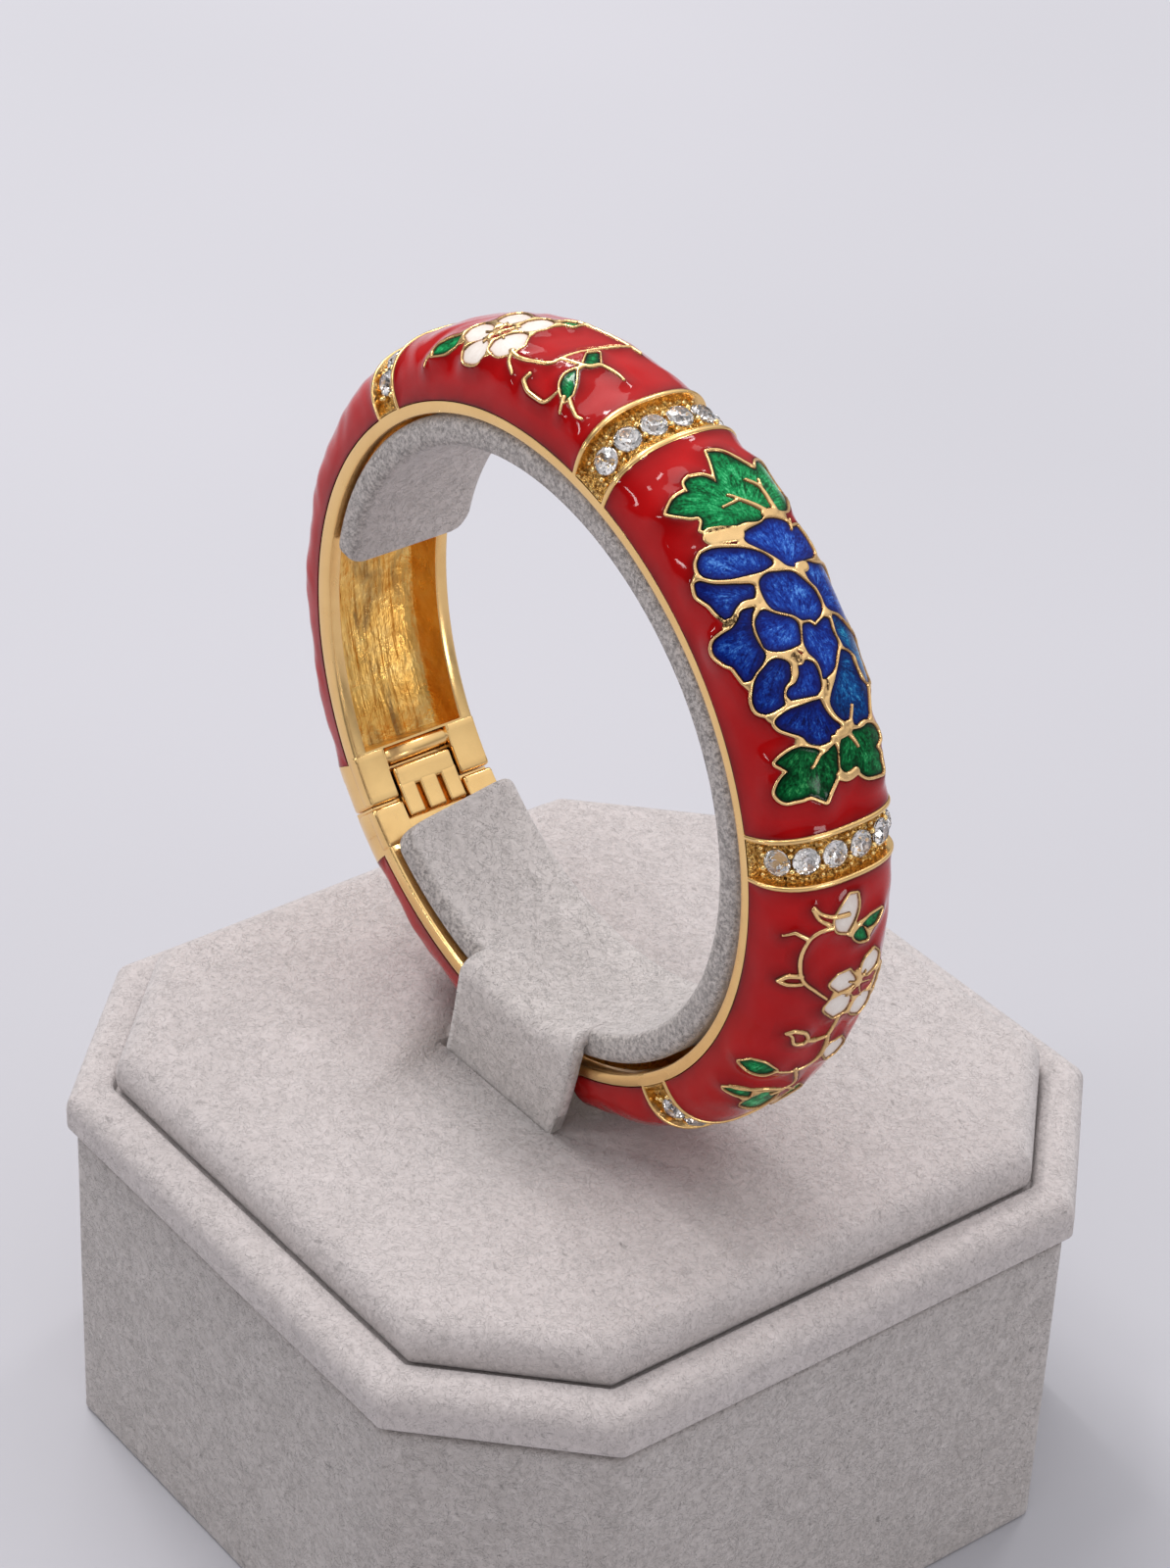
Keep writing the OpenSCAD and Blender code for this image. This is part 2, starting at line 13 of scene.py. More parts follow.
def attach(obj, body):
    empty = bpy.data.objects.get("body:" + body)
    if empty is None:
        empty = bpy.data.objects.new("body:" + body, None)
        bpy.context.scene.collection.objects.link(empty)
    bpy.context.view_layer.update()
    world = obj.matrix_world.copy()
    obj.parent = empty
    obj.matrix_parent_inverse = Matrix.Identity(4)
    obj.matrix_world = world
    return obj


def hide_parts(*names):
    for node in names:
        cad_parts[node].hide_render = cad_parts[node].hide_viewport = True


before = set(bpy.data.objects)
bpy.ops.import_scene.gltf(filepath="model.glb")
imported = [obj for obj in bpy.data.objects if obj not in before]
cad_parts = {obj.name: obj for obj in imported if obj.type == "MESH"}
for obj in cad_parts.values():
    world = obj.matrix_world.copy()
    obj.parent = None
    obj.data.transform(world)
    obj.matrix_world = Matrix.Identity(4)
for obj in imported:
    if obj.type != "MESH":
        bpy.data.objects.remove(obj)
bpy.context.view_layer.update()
MM = 0.001
FRONT, ARM = "stand_and_front", "arm"

# camera of the photograph
TARGET = Vector((3.17, -3.69, 68.49)) * MM
TO_CAMERA = Vector((0.6516, -0.5235, 0.5490)).normalized()
DISTANCE, ROLL, LENS = 0.3391, math.radians(2.69), 97.11

# bangle, as in the CAD source: centre, the oval's arcs (start, centre x and z, radius), section and bars
RING = np.array([0.5, -1.9, 72.05])
ARCS = np.array([(-135, 1.5123, 2.68935, 29.6141), (-90, 1.5123, -1.02475, 25.9),
                 (0, 0.1523, -1.02475, 27.26), (45, -1.5123, -2.68935, 29.6141), (90, -1.5123, 1.02475, 25.9),
                 (180, -0.1523, 1.02475, 27.26), (225, 1.5123, 2.68935, 29.6141)])
HALF_W, SIDE, DOME, POWER = 6.2, 1.09, 5.0, 2.5
LETTERS, BAR_MID = "abcd", [130.5, 74.1, 12.6, -50.6]
BAR_HALF, BORDER = 3.85, 0.75
# angles along the front part, from its low end to the hinge, and along the rear arm
FRONT_END, FRONT_CAP = -78, 1.5
HINGE_WALL, POCKET_FROM, HINGE_BAR = 211.9, 212.3, 213.4
EAR_FROM, EAR_TO, ARM_FROM, HINGE_OUT, ARM_PANEL, ARM_END = 216.2, 221.5, 222.05, 229.5, 253.5, 259
HINGE_DROP, EAR_IN, POCKET = 0.05, 3.2, 1.0
STONES, STONE_PITCH, STONE_R = 6, 2.6, 1.075
# rails stand higher toward the hinge, and the dome is a little fuller near the top: angle, extra height
RAIL = np.array([[135, 0], [160, 0.25], [190, 0.45], [225, 0.45], [259, 0.30]])
FULLER = np.array([[18, 0], [45, 0.12], [60, 0.22], [70, 0.40], [88, 0.42], [105, 0.27], [120, 0.20],
                   [131, 0], [150, 0.05], [170, 0.15], [190, 0.27], [235, 0.30], [259, 0.20]])


def arc_of(a):
    """Centre x, centre z and radius of the arc at each angle."""
    i = np.clip(np.searchsorted(ARCS[:, 0], a, side="right") - 1, 0, len(ARCS) - 1)
    return ARCS[i, 1], ARCS[i, 2], ARCS[i, 3]


def ring(a, y, e):
    """Points at the angle a, y across and e outward from the hole."""
    a, y, e = np.broadcast_arrays(np.asarray(a, float), y, e)
    over = np.clip((e - SIDE) / DOME, 0, 1)
    e = e + np.interp(a, *RAIL.T) * np.where(e < SIDE, np.clip(e / SIDE, 0, 1), 1 - over)
    x, z, r = arc_of(a)
    t = np.radians(a)
    return np.stack([x + (r + e) * np.cos(t), y, z + (r + e) * np.sin(t)], -1) + RING


# the section across the dome, by the length over it
ACROSS = np.radians(np.linspace(-90, 90, 1441))
DOME_Y = HALF_W * np.sign(np.sin(ACROSS)) * np.abs(np.sin(ACROSS)) ** (2 / POWER)
DOME_E = SIDE + DOME * np.abs(np.cos(ACROSS)) ** (2 / POWER)
DOME_V = np.concatenate([[0], np.cumsum(np.hypot(np.diff(DOME_Y), np.diff(DOME_E)))])
DOME_V -= DOME_V[-1] / 2
HALF = DOME_V[-1]


def section(v):
    """y, e and the normal's two parts at the length v across the dome."""
    y, e = np.interp(v, DOME_V, DOME_Y), np.interp(v, DOME_V, DOME_E)
    ny = np.sign(y) * np.abs(y / HALF_W) ** (POWER - 1) / HALF_W
    ne = np.clip((e - SIDE) / DOME, 0, 1) ** (POWER - 1) / DOME
    n = np.hypot(ny, ne)
    return y, e, ny / n, ne / n


def fuller(a, e):
    return e + np.interp(a, *FULLER.T) * (e - SIDE) / DOME


def band(a, v, h):
    """Points over the dome."""
    y, e, ny, ne = section(v)
    return ring(a, y + ny * h, fuller(a, e) + ne * h)


# lengths along the band, at the mean height of the dome, for each angle
ANGLE_STEP, MEAN_RISE = 0.25, 5.4
ANGLES = np.arange(-135, 270.01, ANGLE_STEP)
REACH = arc_of(ANGLES[:-1] + 0.1)[2] + MEAN_RISE
PLANE = np.concatenate([[0], np.cumsum(REACH * math.radians(ANGLE_STEP))])


def to_x(a):
    return np.interp(a, ANGLES, PLANE)


def to_a(x):
    return np.interp(x, PLANE, ANGLES)


# meshes
def mesh_object(name, verts, faces, materials, index=None, attrs=None, smooth=40):
    """An object from points in millimetres and a list of faces or an array of quads."""
    me = bpy.data.meshes.new(name)
    me.vertices.add(len(verts))
    me.vertices.foreach_set("co", (np.asarray(verts, float) * MM).ravel())
    sizes = np.array([len(f) for f in faces])
    flat = np.concatenate([np.asarray(f) for f in faces]) if isinstance(faces, list) else faces.ravel()
    starts = np.concatenate([[0], np.cumsum(sizes)[:-1]])
    me.loops.add(len(flat))
    me.loops.foreach_set("vertex_index", flat.astype(np.int32))
    me.polygons.add(len(sizes))
    me.polygons.foreach_set("loop_start", starts.astype(np.int32))
    me.polygons.foreach_set("loop_total", sizes.astype(np.int32))
    for m in materials:
        me.materials.append(m)
    if index is not None:
        me.polygons.foreach_set("material_index", np.asarray(index, np.int32))
    me.update(calc_edges=True)
    me.validate()
    for key, values in (attrs or {}).items():
        data = me.attributes.new(key, "FLOAT", "POINT").data
        data.foreach_set("value", np.asarray(values, np.float32))
    me.shade_smooth()
    if smooth < 180:
        me.set_sharp_from_angle(angle=math.radians(smooth))
    o = bpy.data.objects.new(name, me)
    bpy.context.scene.collection.objects.link(o)
    return o


def joined(parts):
    """One array of points and one list of faces from several pairs of both."""
    start = np.cumsum([0] + [len(p) for p, _ in parts])
    faces = [[k + n for k in face] for (_, group), n in zip(parts, start) for face in group]
    return np.concatenate([p for p, _ in parts]), faces


def outward_faces(o):
    """Turns all faces of an object outward."""
    bm = bmesh.new()
    bm.from_mesh(o.data)
    bmesh.ops.recalc_face_normals(bm, faces=bm.faces)
    bm.to_mesh(o.data)
    bm.free()


def grid_faces(n, m, keep=None, close=False):
    """Quads of an n by m grid of points that face outward on the bangle."""
    i, j = np.meshgrid(np.arange(n - 1), np.arange(m if close else m - 1), indexing="ij")
    k = (j + 1) % m
    f = np.stack([i * m + j, i * m + k, (i + 1) * m + k, (i + 1) * m + j], -1).reshape(-1, 4)
    return f if keep is None else f[keep.ravel()]


def used_only(verts, faces, attrs):
    """The points that faces use, with the faces and attributes that go with them."""
    used = np.unique(faces)
    new = np.zeros(len(verts), int)
    new[used] = np.arange(len(used))
    return verts[used], new[faces], {k: v[used] for k, v in attrs.items()}


def relief(name, a, v, h, keep, material, attrs=None):
    """A height field over the band, as an open sheet that dives under its neighbours."""
    A, W = np.meshgrid(a, v, indexing="ij")
    corner = keep[:-1, :-1] | keep[1:, :-1] | keep[:-1, 1:] | keep[1:, 1:]
    faces = grid_faces(len(a), len(v), corner)
    data = {k: np.broadcast_to(x, A.shape).ravel() for k, x in (attrs or {}).items()}
    verts, faces, data = used_only(band(A, W, h).reshape(-1, 3), faces, data)
    return mesh_object(name, verts, faces, [material], attrs=data, smooth=180)


def finish_piece(o, body, slot, *nodes):
    """Hides the CAD nodes that a piece stands for and puts it in its body; the slot is not used."""
    if nodes:
        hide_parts(*nodes)
    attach(o, body)
    return o


# outlines and their distances
SPAN_POINTS, SHARP_TURN, HANDLE = 5, 60, 1.6


def rounded(p, closed=True):
    """A smooth line through the points, with sharp corners kept."""
    p = np.reshape(p, (-1, 2)).astype(float)
    last = len(p) if closed else len(p) - 1
    prev, nxt = np.roll(p, 1, 0), np.roll(p, -1, 0)
    if not closed:
        prev[0], nxt[-1] = p[0], p[-1]
    a, b = p - prev, nxt - p
    turn = np.degrees(np.abs(np.angle((b[:, 0] + 1j * b[:, 1]) * (a[:, 0] - 1j * a[:, 1]))))
    sharp = turn > SHARP_TURN
    tan = (nxt - prev) / 2
    out = []

    def handle(i, d):
        reach = np.linalg.norm(d) * HANDLE / (np.linalg.norm(tan[i]) + 1e-9)
        return d if sharp[i] else tan[i] * min(1, reach)

    for i in range(last):
        k = (i + 1) % len(p)
        d = p[k] - p[i]
        m0, m1 = handle(i, d), handle(k, d)
        for t in np.arange(SPAN_POINTS) / SPAN_POINTS:
            out.append((2 * t**3 - 3 * t**2 + 1) * p[i] + (t**3 - 2 * t**2 + t) * m0
                       + (3 * t**2 - 2 * t**3) * p[k] + (t**3 - t**2) * m1)
    if not closed:
        out.append(p[-1])
    return np.array(out)


def near_line(P, line, reach):
    return ((P > line.min(0) - reach) & (P < line.max(0) + reach)).all(1)


def to_segment(Q, p, q):
    """How far along the segment from p to q each point is, and the square of its distance."""
    d, w = q - p, Q - p
    t = np.clip((w @ d) / max(d @ d, 1e-12), 0, 1)
    return t, ((w - t[:, None] * d) ** 2).sum(1)


FAR = 9.0


def distance(P, line, closed):
    """Distance of each point to a line, negative inside a closed one, and FAR when far away."""
    out = np.full(len(P), FAR)
    near = near_line(P, line, 3.0)
    Q = P[near]
    if not len(Q):
        return out
    best, inside = np.full(len(Q), FAR**2), np.zeros(len(Q), bool)
    ends = np.roll(line, -1, 0) if closed else line[1:]
    for p, q in zip(line, ends):
        best = np.minimum(best, to_segment(Q, p, q)[1])
        if closed and p[1] != q[1]:
            cross = (q[0] - p[0]) * (Q[:, 1] - p[1]) / (q[1] - p[1]) + p[0]
            inside ^= ((p[1] > Q[:, 1]) != (q[1] > Q[:, 1])) & (Q[:, 0] < cross)
    best = np.sqrt(best)
    out[near] = np.where(inside, -best, best)
    return out


def stroke(P, line, w0, w1):
    """Depth inside a line that tapers from the half width w0 to w1, negative outside it."""
    out = np.full(len(P), -FAR)
    near = near_line(P, line, 1.2)
    Q = P[near]
    best = np.full(len(Q), -FAR)
    run = np.concatenate([[0], np.cumsum(np.hypot(*np.diff(line, axis=0).T))])
    for k, (p, q) in enumerate(zip(line, line[1:])):
        t, square = to_segment(Q, p, q)
        along = (run[k] + t * (run[k + 1] - run[k])) / run[-1]
        best = np.maximum(best, w0 + (w1 - w0) * along - np.sqrt(square))
    out[near] = best
    return out


def smoothstep(x):
    x = np.clip(x, 0, 1)
    return x * x * (3 - 2 * x)


def blur(h, k):
    """A soft blur along both ways, k cells wide."""
    w = np.exp(-0.5 * (np.arange(-3 * k, 3 * k + 1) / k) ** 2)
    w /= w.sum()
    for _ in range(2):
        pad = np.pad(h, ((3 * k, 3 * k), (0, 0)), "edge")
        h = np.apply_along_axis(lambda c: np.convolve(c, w, "valid"), 0, pad).T
    return h


# the ornament: each outline or line is pairs of angle and length across
# how violet or green-blue a petal is, and its outline
PEONY_PETALS = [
    (0.9, [55.6,-1, 55.9,-0.2, 56.1,0.9, 56.4,1.5, 56.1,2.4, 55.4,3.2, 54.5,3.3, 54.7,4.3, 53.6,4.6,
           52.6,4.8, 51.1,4.8, 50.4,4.1, 50.2,2.7, 49.8,1.7, 50.3,1.1, 51.5,0.6, 52.6,0, 53.6,-0.6,
           54.6,-1.1]),
    (0.7, [54.8,-5, 55.5,-4.5, 55.4,-3.7, 54.7,-2.6, 53.8,-1.4, 52.7,-0.4, 51.5,0.1, 50.9,0, 50.6,-1,
           50.8,-2.2, 51.2,-3.5, 52,-4.5, 53,-5.1, 53.9,-5.2]),
    (0.5, [52.7,-5.9, 52.6,-5.5, 51.4,-4.7, 50.3,-3.4, 49.5,-2.3, 48.8,-2.3, 48,-2.6, 48.2,-3.4, 47.8,-4.1,
           47.1,-4.6, 47.1,-5.1, 48.2,-5.4, 49.5,-5.6, 50.5,-5.9, 51.4,-6.1]),
    (0.8, [49.4,-1.7, 50.1,-0.9, 49.9,0, 49.3,1.3, 47.9,2, 46.4,2.5, 44.6,2.6, 43.4,2.2, 42.7,1.3, 43.2,1,
           43.5,0.3, 44.5,-0.3, 45.4,-1.2, 46.1,-1.7, 47.6,-1.9]),
    (0.6, [49.8,2.9, 49.9,3.3, 49.5,4.1, 49.2,5.6, 48.6,6.2, 47,6.9, 45.5,7, 43.8,7, 42,6.9, 40.4,6.6,
           39.1,6.3, 39.7,6, 40.8,5.1, 42.1,4.4, 42.9,3.9, 43.5,3.2, 44.2,2.9, 45.5,2.9, 46.6,2.8, 47.5,2.5,
           48.4,2.4, 49.2,2.5]),
    (0.3, [47.1,-3.5, 46.9,-2.9, 46.2,-3.3, 45,-3.6, 43.6,-3.7, 42.1,-3.6, 41.1,-3.5, 40.1,-3.9, 39.4,-4.5,
           38.7,-5, 38.7,-5.5, 39.9,-5.7, 41.1,-5.9, 41.8,-6.3, 43.3,-6.8, 44.4,-6.8, 45.2,-6.4, 45.5,-5.7,
           45.7,-4.9, 46.3,-4.3, 47,-3.9]),
    (1, [46.1,-2.2, 45.2,-1.5, 44.3,-0.6, 43.4,-0.2, 42,-0.3, 40.7,-0.6, 40.6,-1.7, 40.9,-2.6, 41.7,-3.3,
         42.9,-3.4, 44.3,-3.4, 45.4,-3.2, 46.2,-2.6]),
    (0.9, [42.6,0.1, 42.9,0.3, 42.8,0.8, 42.1,1.2, 42.5,1.8, 42.8,2.3, 42.5,2.7, 41.9,2.7, 40.8,2.6,
           39.7,2.7, 38.8,2.6, 38,2.2, 36.3,1.5, 35.7,0.7, 35.6,0.5, 35.7,0.2, 36.8,0.3, 38.1,0.2,
           39.2,-0.2, 40,-0.3, 40.9,-0.3]),
    (0.2, [40,-3.3, 39.9,-2.7, 39,-2.1, 37.8,-2.2, 36.9,-2.5, 36.3,-3, 35.1,-3.3, 34.3,-3.4, 33.9,-4.1,
           33.8,-4.8, 34.5,-5.3, 35.8,-5.4, 37.3,-5.1, 38.7,-4.6, 39.5,-3.9]),
    (0.8, [38.4,-1.4, 38.5,-0.6, 37.8,-0.1, 36.3,0, 34.7,-0.2, 34,-0.7, 34.3,-2, 34.5,-2.8, 35.3,-3,
           36,-2.7, 36.3,-2.1, 37.2,-1.6]),
    (0.1, [32.6,-4.3, 33.3,-3.4, 33.4,-2.4, 33.4,-1.3, 33.3,-0.6, 31.8,-0.4, 30.4,0, 29.3,0.5, 28.6,0.3,
           28.6,-0.5, 27.9,-0.7, 27.9,-1.6, 28.6,-2.4, 29.7,-2.8, 30.7,-3.6, 31.6,-4.2]),
    (-0.4, [38.2,2.8, 37.8,3.3, 37.1,3.7, 36.2,3.7, 34.9,3.8, 33.7,4, 32.6,4.6, 31.6,4.4, 30,3.9, 29.1,3.7,
            28.7,3.4, 28.9,2.8, 28.6,2.1, 28.9,1.8, 29.7,1.8, 29.7,1.5, 29.7,1, 30.4,0.6, 31.4,0.3,
            32.5,0.2, 33.7,0.6, 34.9,1.2, 36,1.7, 37.1,2.2, 38,2.6]),
    (-0.8, [42.8,3.3, 42.5,3.7, 41.5,4.3, 40.2,5, 39.2,5.9, 37.8,6.5, 36.4,6.7, 35,6.6, 33.6,6.3, 32.7,5.3,
            33.3,4.6, 34.3,4.3, 35.7,4.1, 36.8,4.1, 37.6,3.8, 38.1,3.5, 38.6,3.1, 39.5,3, 40.6,2.9, 41.7,3,
            42.5,3.1]),
]
PEONY_LEAVES = [
    [62.2,-5, 63,-4.3, 63.2,-3.9, 63.2,-3.3, 63,-2.9, 64.2,-2.8, 64.6,-2.3, 64.2,-1.4, 63.5,-0.9, 62.7,-0.6,
     64.3,-0.2, 65.7,0.1, 66.9,0.3, 66.6,1.1, 65.9,1.7, 64.8,2.3, 63.6,3, 63.1,3.5, 64.3,4.2, 64.6,5.2,
     64,6, 62.9,6.3, 61.4,6.3, 60,6, 58.6,5.2, 57.2,4.2, 57,3.4, 57.7,2.5, 56.8,1.4, 56.5,0.7, 56.9,-0.3,
     56.9,-1.2, 57.2,-2.3, 57.5,-3.1, 58.1,-3.6, 59,-3.2, 59.8,-3.3, 60.2,-3.8, 61.4,-4.6],
    [27.3,-5, 27.8,-4.6, 28.3,-3.9, 28.4,-3.2, 28,-2.6, 27.6,-2.1, 27.3,-1.9, 27,-1.7, 26.7,-1.3, 27.3,-0.4,
     26.3,-0.3, 25,-0.5, 23.9,-0.6, 22.7,-1.1, 21.7,-1.6, 20.7,-2, 21.3,-2.5, 21.8,-2.9, 22,-3.3, 21.9,-3.7,
     21.9,-4.3, 21.9,-4.9, 22.4,-5.3, 23.3,-5.5, 24.4,-5.2, 25.2,-4.8, 25.8,-4.3, 26.6,-4.7, 27.1,-5],
    [28,0.6, 27.4,0.2, 26.3,-0.1, 25.3,-0.2, 24.3,-0.3, 23.5,0, 23.1,0.3, 23.2,0.7, 23.7,1.2, 22.7,1.4,
     21.9,1.9, 21.5,2.5, 21.1,3.9, 21.6,4, 22.9,3.9, 23.7,4, 24.8,3.6, 25.4,4.5, 26.6,4.4, 27.6,3.9,
     28.1,3.1, 27.9,2.4, 28.1,1.5, 27.7,1.2],
]
# gold veins and pads: half widths at both ends, and the line
PEONY_VEINS = [
    (0.22, 0.1, [57.5,1.8, 58.6,1.2, 59.6,0.5, 60.5,-0.1, 60.8,-0.4]),
    (0.14, 0.09, [59.8,0.1, 59.7,-0.5, 59.6,-1.3]),
    (0.22, 0.1, [57.1,2.8, 58.1,2.8, 59.5,2.8, 60.6,2.7, 61.4,2.3, 62,1.8]),
    (0.14, 0.09, [60.5,2.8, 61.1,2.9, 61.7,3]),
    (0.16, 0.1, [27.1,-1.2, 26.7,-1.8, 26,-2.2, 25.4,-2.6]),
    (0.2, 0.1, [28.1,1.1, 27.1,1.4, 26.4,1.6, 25.9,1.7]),
    (0.12, 0.09, [29.5,1.6, 30.2,1.8, 31.2,2.1]),
    (0.12, 0.09, [55.7,3.7, 54.3,3.3]),
]
PEONY_PADS = [
    (0.35, 0.35, [57.1,1.7, 57,2.7]),
    (0.72, 0.66, [56.8,-3.2, 56.4,-2.4, 55.9,-1.5]),
    (0.35, 0.35, [23.2,-0.5, 22.7,0.2, 23,1]),
    (0.45, 0.45, [49.5,2.2, 49.5,2.6]),
    (0.42, 0.42, [38.9,-1.2, 39.7,-1.5]),
    (0.4, 0.4, [28.3,0.3, 28.4,0.9]),
]
# painted shade in the low places of the gold: half width, and the line
PEONY_LOW_SHADE = [
    (0.36, [47.3,-5.4, 46.4,-5.1, 46.5,-4.5]),
    (0.18, [35.6,0.5, 34.7,0.4, 34.2,0.3]),
    (0.2, [57.5,-3.3, 57.2,-2.5, 57,-1.7]),
    (0.36, [39,-1.3, 39.5,-1.5]),
]
PLUM_TOP = dict(
    centre=[[103.9, -3]],
    petals=[
        [109.5,-3.9, 109.7,-3.1, 108.6,-2.4, 106.2,-2.5, 104.9,-3.3, 105.4,-3.9, 107.4,-4.4],
        [106.1,-6, 107.1,-5.3, 106.4,-4.7, 104.8,-4.1, 103.2,-4.4, 102.5,-5.2, 103.3,-5.9],
        [102,-4.6, 102.2,-3.9, 101.5,-3.2, 100.1,-2.5, 98.5,-2.4, 97,-3.4, 97.7,-4.3, 99.7,-4.9],
        [101.4,-1.9, 102.3,-0.6, 101.3,0.4, 98.9,0.3, 98.2,-0.8, 99.1,-1.8],
        [106.9,-1.5, 107.8,-0.3, 106.7,0.5, 103.6,0.1, 103.1,-1, 104.3,-1.7]],
    leaves=[
        [115.1,-5.7, 114.3,-5, 112.5,-4.4, 110.4,-4, 110,-4.9, 111.8,-5.5],
        [98.4,0.8, 98.4,1.4, 96.5,2.1, 96.4,1.2],
        [84.1,-5.2, 86.1,-4.5, 86.8,-3.7, 86.6,-3, 84.9,-3.9, 84,-4.6],
        [86.8,-1.9, 88.2,-0.9, 87.8,-0.3, 85.8,-1.2]],
    stems=[
        [98,-4.2, 95.7,-4.4, 92.9,-4.1, 90.3,-3.5, 89.7,-2.2, 89,-0.7, 88.4,0.9, 87.8,3],
        [91.9,-5.1, 92.3,-5.7, 90.6,-6.2, 88.5,-6.3, 87,-6.2, 86.1,-5.5, 85.8,-4.9],
        [97.7,-4.1, 96.9,-5, 95,-5.7],
        [84.5,-5.1, 83.6,-6.1],
        [83.5,-5, 81.4,-5.5, 80.2,-5.4],
        [89.7,-2.7, 87.4,-2.3, 86,-1.9, 85.4,-1.1, 83.5,-0.7, 81.7,-0.7],
        [115.3,-5.7, 116.2,-6, 116.6,-6.6],
        [97.2,2.1, 94.4,2.5, 89.1,2.9, 86.1,3.1]])
PLUM_RIGHT = dict(
    centre=[[-8.9, 1.2]],
    petals=[
        [-7.1,-1.6, -5.9,-1.1, -5.9,-0.1, -8.1,0.7, -8.9,0.2, -8.9,-0.7],
        [-11.8,-1.6, -10.3,-1.3, -10,-0.4, -11.2,0.6, -13.4,0.5, -14,-0.5],
        [-14.6,1.3, -12.5,1.4, -11.7,2, -12.9,3, -15.2,3.1, -16.2,2.4],
        [-7.1,1.4, -5.1,1.5, -4.1,2.3, -5.6,3, -7.2,2.9, -8,2.1],
        [-11.4,3.2, -9.4,3.4, -8.2,3.7, -10.4,3.6, -12.3,3.5]],
    buds=[
        [2.1,-1.6, 3.8,-1.8, 5.5,-1.2, 6.6,-0.6, 6.4,0, 4.7,0.1, 3,-0.2, 1.4,-0.8],
        [-22.8,0.3, -21,0.5, -20.8,1.4, -23.1,2.2, -25,1.9, -25.5,1.2]],
    leaves=[
        [1.5,0.8, 2.1,1.5, 2.2,2.7, 0.8,2.1, 0.7,1.4],
        [0.3,0, 1.1,0.4, 0.8,0.8, -1.2,1.3, -0.9,0.6],
        [-25.2,-6.5, -23.5,-5.8, -23.4,-4.9, -24.8,-3.8, -25.9,-4.5, -26,-5.5],
        [-33.1,-6.2, -31.3,-5.3, -31.1,-4.5, -32.9,-4.3, -33.2,-5.1],
        [-36.2,-4, -33.2,-3.9, -31.3,-3.4, -31.3,-2.1, -34.7,-1.9, -37.5,-2.3],
        [-37.2,-1, -34.1,-0.7, -31.5,-0.3, -33.6,0.6, -35.2,0]],
    stems=[
        [2.6,-2.1, 2.4,-3.1, 1.4,-3.9, -0.9,-4.4, -3.5,-4.4, -5.8,-4, -7.8,-2.9, -9.7,-1.8],
        [3.2,-2.4, 4.3,-3.2, 5.9,-3.7],
        [1.6,-4.1, 2.6,-5, 2,-5.9],
        [-4.9,-4.2, -5,-5.2, -6.1,-5.9, -6.5,-5.2, -6.3,-4.1],
        [-14.4,0, -16.7,0, -18.6,-0.3, -18.6,-1.5],
        [-16.1,-4.2, -15.6,-3.7, -16.3,-2.7, -17.9,-2.2, -18.8,-2.5, -18.5,-3.3, -16.8,-3.7, -16.1,-4.2],
        [-18.5,-0.2, -20.9,0, -23.9,-0.1, -25.3,-0.9, -25.8,-2.3, -25,-3.7],
        [-25.3,-1.9, -29.8,-0.9, -31.1,-1.6, -30.3,-3.6, -31.8,-6],
        [3.9,-0.7, 4.2,-2, 5,-3, 6.2,-3.6],
        [-18.6,-1.5, -18.2,-2.3],
        [-31.1,-1.6, -32.2,-2.5],
        [-31,-1.4, -32.6,-0.3]])


def moved(branch, shift, flip):
    """The same kind of branch in another panel: shifted by an angle and mirrored across."""
    def move(p):
        return np.reshape(p, (-1, 2)) * (1, flip) + (shift, 0)
    return {key: [move(p) for p in rows] for key, rows in branch.items()}


PLUM_LEFT = moved(PLUM_TOP, 66.0, -1)


class Motif:
    """What stands raised in one panel: closed outlines, tapering lines, and low places of the gold that take
    painted shade.
    """

    def __init__(self, closed, lines, rise, reach, grow, line, fill, low_shade=()):
        self.closed = [self.flat(rounded(p)) for p in closed]
        self.lines = [(w0, w1, self.flat(rounded(p, False))) for w0, w1, p in lines]
        self.low_shade = [(w, self.flat(np.reshape(p, (-1, 2)))) for w, p in low_shade]
        self.rise, self.reach = rise, reach
        self.grow, self.line, self.fill = grow, line, fill

    @staticmethod
    def flat(p):
        """Lengths along and across the band from angles and lengths across."""
        return np.stack([to_x(p[:, 0]), p[:, 1]], 1)

    def outline_distance(self, P):
        """Distances of the nearest and second nearest outline."""
        far = np.full(len(P), FAR)
        if not self.closed:
            return far, far
        d = np.stack([distance(P, c, True) for c in self.closed]) - self.grow
        return np.partition(d, 1, 0)[:2]

    def gold(self, P, both):
        """Signed depth inside the gold: positive on a line, 0 at its edge."""
        d1, d2 = both
        g = np.minimum(d1, np.maximum(self.line - d1, (self.fill - d1 - d2) / 2))
        for w0, w1, c in self.lines:
            g = np.maximum(g, stroke(P, c, w0, w1))
        return g

    def uplift(self, P):
        """Height of the plateau that the outlines and lines stand on."""
        up = np.zeros(len(P))
        for c in self.closed:
            rest = (distance(P, c, True) - 0.35) / self.reach[0]
            up = np.maximum(up, self.rise[0] * (1 - smoothstep(rest)))
        for w0, _, c in self.lines:
            rest = (distance(P, c, False) - w0) / self.reach[1]
            up = np.maximum(up, self.rise[1] * (1 - smoothstep(rest)))
        return up


# the red ground: depth, how far and how soon it climbs at the gold, and its slow and quick waves
RED_SINK, RED_CLIMB, CLIMB_OVER, SLOW_WAVE, QUICK_WAVE = 0.13, 0.15, 0.5, 0.08, 0.05


